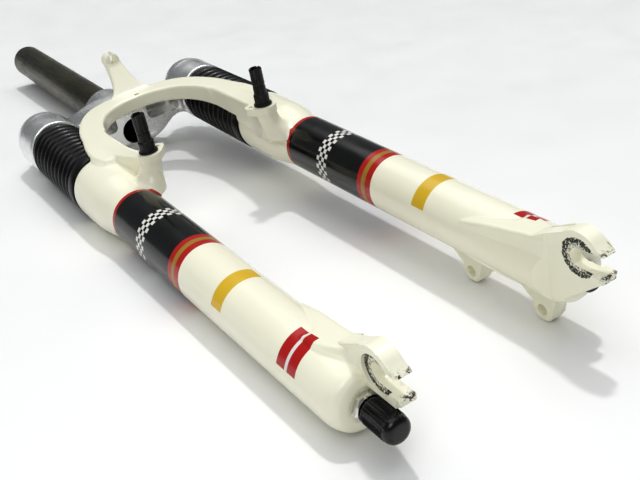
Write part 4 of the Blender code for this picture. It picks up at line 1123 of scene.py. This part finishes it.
for label, side in SIDES.items():
    x = side * leg_x
    work = bmesh.new()
    lathe(work, rounded(STANCHION_R, SOCKET_TOP, 0.0004) + [(STANCHION_R, -0.160), (0.0124, -0.160),
          (0.0124, SOCKET_TOP)], x=x, ring=True)
    fit(to_object(work, "stanchion_drawn_" + label), TUBE_METAL, "upper", "tube_metal",
        "stanchion_" + label)
    work = bmesh.new()
    lathe(work, [(0.0033, cap_top), (0.0100, cap_top), (0.0104, cap_top - 0.0004),
                 (0.0136, cap_top - 0.0004), (0.0147, cap_top - 0.0009), (0.0152, cap_top - 0.0018),
                 (0.0152, flange_low + 0.0003), (0.0149, flange_low), (0.0121, flange_low),
                 (0.0121, SOCKET_TOP - 0.0180), (0.0033, SOCKET_TOP - 0.0180)], x=x, ring=True)
    cap = to_object(work, "top_cap_turned_" + label, 30)
    notches = []
    for i in range(8):
        t = 2 * math.pi * i / 8
        work = bmesh.new()
        place = Matrix.Translation((x + 0.0156 * math.sin(t), cap_top, 0.0156 * math.cos(t)))
        bmesh.ops.create_cone(work, segments=20, radius1=0.0013, radius2=0.0013, depth=0.009,
                              cap_ends=True, matrix=place @ Matrix.Rotation(math.pi / 2, 4, "X"))
        notches.append(to_object(work, "spanner_notch"))
    carve(cap, notches)
    crisp_above(cap, 30)
    fit(cap, CAP_METAL, "upper", "bright_steel", "top_cap_" + label)
    work = bmesh.new()
    high, low = cap_top + GAP + KNOB_H, cap_top + GAP
    lathe(work, [(0.0, high, 0), (0.0030, high, 0), (0.0034, high - 0.0005, 0),
                 (0.0060, high - 0.0005, 0), (0.0064, high, 0), (0.0082, high, 0),
                 (0.0091, high - 0.0004, 0.5), (0.0095, high - 0.0012, 1),
                 (0.0095, low + 0.0012, 1), (0.0093, low, 0.6), (0.0030, low, 0),
                 (0.0030, SOCKET_TOP - 0.021, 0), (0.0, SOCKET_TOP - 0.021, 0)],
          x=x, steps=144, reach=fluted)
    fit(to_object(work, "preload_knob_fluted_" + label, 40), BLACK_MOULDING,
        "preload_" + label, "black_plastic", "preload_knob_" + label)

# Main springs ------------------------------------------------------------------------------------
# Cold-wound spring steel, with one closed and ground turn at each end. They stand inside the
# stanchions. On the fork they shorten by the whole stroke; here they are drawn at one length.
SPRING_METAL = worked_metal("wound_wire", (0.34, 0.35, 0.37), (0.16, 0.16, 0.17), 0.32, 400.0, 400.0)
WIRE, TURNS, spring_foot = 0.0032, 10, -0.0300
spring_head = SOCKET_TOP - 0.0213 - 0.0060 - GAP


def coil(name, x, low, high, coil_r, wire_r, turns, per_turn=32, sides=12):
    """A helix of round wire whose first and last turns lie closed."""
    low, high = low + wire_r, high - wire_r
    closed = 2.24 * wire_r
    pitch = (high - low - 2 * closed) / (turns - 2)
    centres = []
    for i in range(turns * per_turn + 1):
        turn = i / per_turn
        rise = min(turn, 1) * closed + min(max(turn - 1, 0), turns - 2) * pitch
        rise += max(turn - (turns - 1), 0) * closed
        t = 2 * math.pi * turn
        centres.append(Vector((x + coil_r * math.cos(t), low + rise, coil_r * math.sin(t))))
    rings = []
    for i, centre in enumerate(centres):
        ahead = (centres[min(i + 1, len(centres) - 1)] - centres[max(i - 1, 0)]).normalized()
        outward = Vector((centre.x - x, 0, centre.z)).normalized()
        upward = ahead.cross(outward).normalized()
        rings.append([centre + wire_r * (outward * math.cos(t) + upward * math.sin(t))
                      for t in np.linspace(0, 2 * math.pi, sides, endpoint=False)])
    work = bmesh.new()
    skin(work, rings)
    return to_object(work, name, 60)


for label, side in SIDES.items():
    spring = coil("main_spring_wound_" + label, side * leg_x, spring_foot, spring_head,
                  0.0121 - WIRE / 2, WIRE / 2, TURNS)
    fit(spring, SPRING_METAL, "upper", "spring_steel", "main_spring_" + label)
    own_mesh(spring)

# Pieces inside the legs --------------------------------------------------------------------------
# Bushings, guides, shafts, clips, rubber stops and the damper keep their turned shapes, and each gets
# the finish of what it is made of.
BUSH = moulded("bush_polymer", (0.25, 0.21, 0.15), 0.5, 0.00002, 1200.0, 0.1)
ELASTOMER = moulded("yellow_elastomer", (0.62, 0.47, 0.06), 0.6, 0.00004, 800.0, 0.2)
SEAL_RUBBER = moulded("seal_rubber", (0.012, 0.012, 0.012), 0.5, 0.00003, 1000.0, 0.1)
FINISH_BY_SLOT = {"bush_polymer": BUSH, "elastomer": ELASTOMER, "black_rubber": SEAL_RUBBER,
                  "black_plastic": BLACK_MOULDING, "black_oxide": BLACKENED, "bright_steel": BRIGHT,
                  "tube_metal": TUBE_METAL}
slot_of = {part["node"]: part["material_slot"] for part in frame["record"]["subparts"]}
for node_name, node in frame["nodes"].items():
    if node.hide_render:
        continue
    for material_slot in node.material_slots:
        material_slot.material = FINISH_BY_SLOT[slot_of[node_name]]

# Floor and light ---------------------------------------------------------------------------------
# A plain pale floor. Light comes down softly from a window and the sky, both a little from behind
# the fork, and a wide lamp beside the camera fills the shadows.
work = bmesh.new()
bmesh.ops.create_grid(work, x_segments=1, y_segments=1, size=40.0)
floor = to_object(work, "floor", placed=Matrix.Identity(4))
finish = Finish("pale_floor", Roughness=0.5)
finish.set(Base_Color=over((0.86, 0.865, 0.86), spread(noise_at(finish.here, 3.0), 0.3, 0.7),
                           (0.90, 0.90, 0.895)),
           Roughness=spread(noise_at(finish.here, 25.0), 0.3, 0.7, 0.45, 0.62))
floor.data.materials.append(finish.material)


def shine(name, kind, toward, strength, spread_angle=0.0, size=0.0, distance=2.0):
    """A soft light that looks at the fork from the direction named."""
    light = bpy.data.lights.new(name, kind)
    light.energy = strength
    if kind == "SUN":
        light.angle = math.radians(spread_angle)
    else:
        light.size = size
    made = bpy.data.objects.new(name, light)
    bpy.context.scene.collection.objects.link(made)
    made.location = Vector(toward).normalized() * distance
    made.rotation_euler = made.location.to_track_quat("Z", "Y").to_euler()


shine("window", "SUN", (0.42, 0.52, 1.75), 0.85, spread_angle=4.0)
shine("skylight", "SUN", (0.10, 0.30, 1.0), 1.15, spread_angle=70.0)
shine("room", "AREA", (-0.75, -0.8, 1.0), 6.0, size=0.8, distance=1.8)
world = bpy.data.worlds.new("surround")
bpy.context.scene.world = world
world.use_nodes = True
world.node_tree.nodes["Background"].inputs["Color"].default_value = (0.93, 0.97, 1.0, 1)
world.node_tree.nodes["Background"].inputs["Strength"].default_value = 0.19
bpy.context.scene.view_settings.view_transform = "Standard"
bpy.context.scene.view_settings.look = "Medium High Contrast"

# Camera ------------------------------------------------------------------------------------------
# It stands at the rider's right, in front of the fork and below it, and looks up its length.
azimuth, elevation, roll = (math.radians(a) for a in (-26.79, 29.77, -12.18))
back = Vector((math.sin(azimuth) * math.cos(elevation),
               -math.cos(azimuth) * math.cos(elevation), math.sin(elevation)))
level = Vector((math.cos(azimuth), math.sin(azimuth), 0))
upright = back.cross(level)
right = math.cos(roll) * level + math.sin(roll) * upright
up = math.cos(roll) * upright - math.sin(roll) * level
eye = Matrix((right, up, back)).transposed().to_4x4()
eye.translation = (-0.19185, -0.49676, 0.24006)
camera_data = bpy.data.cameras.new("camera")
camera_data.sensor_width = 36.0
camera_data.lens = 51.93
camera_data.clip_start = 0.01
camera = bpy.data.objects.new("camera", camera_data)
bpy.context.scene.collection.objects.link(camera)
camera.matrix_world = FORK @ eye
bpy.context.scene.camera = camera
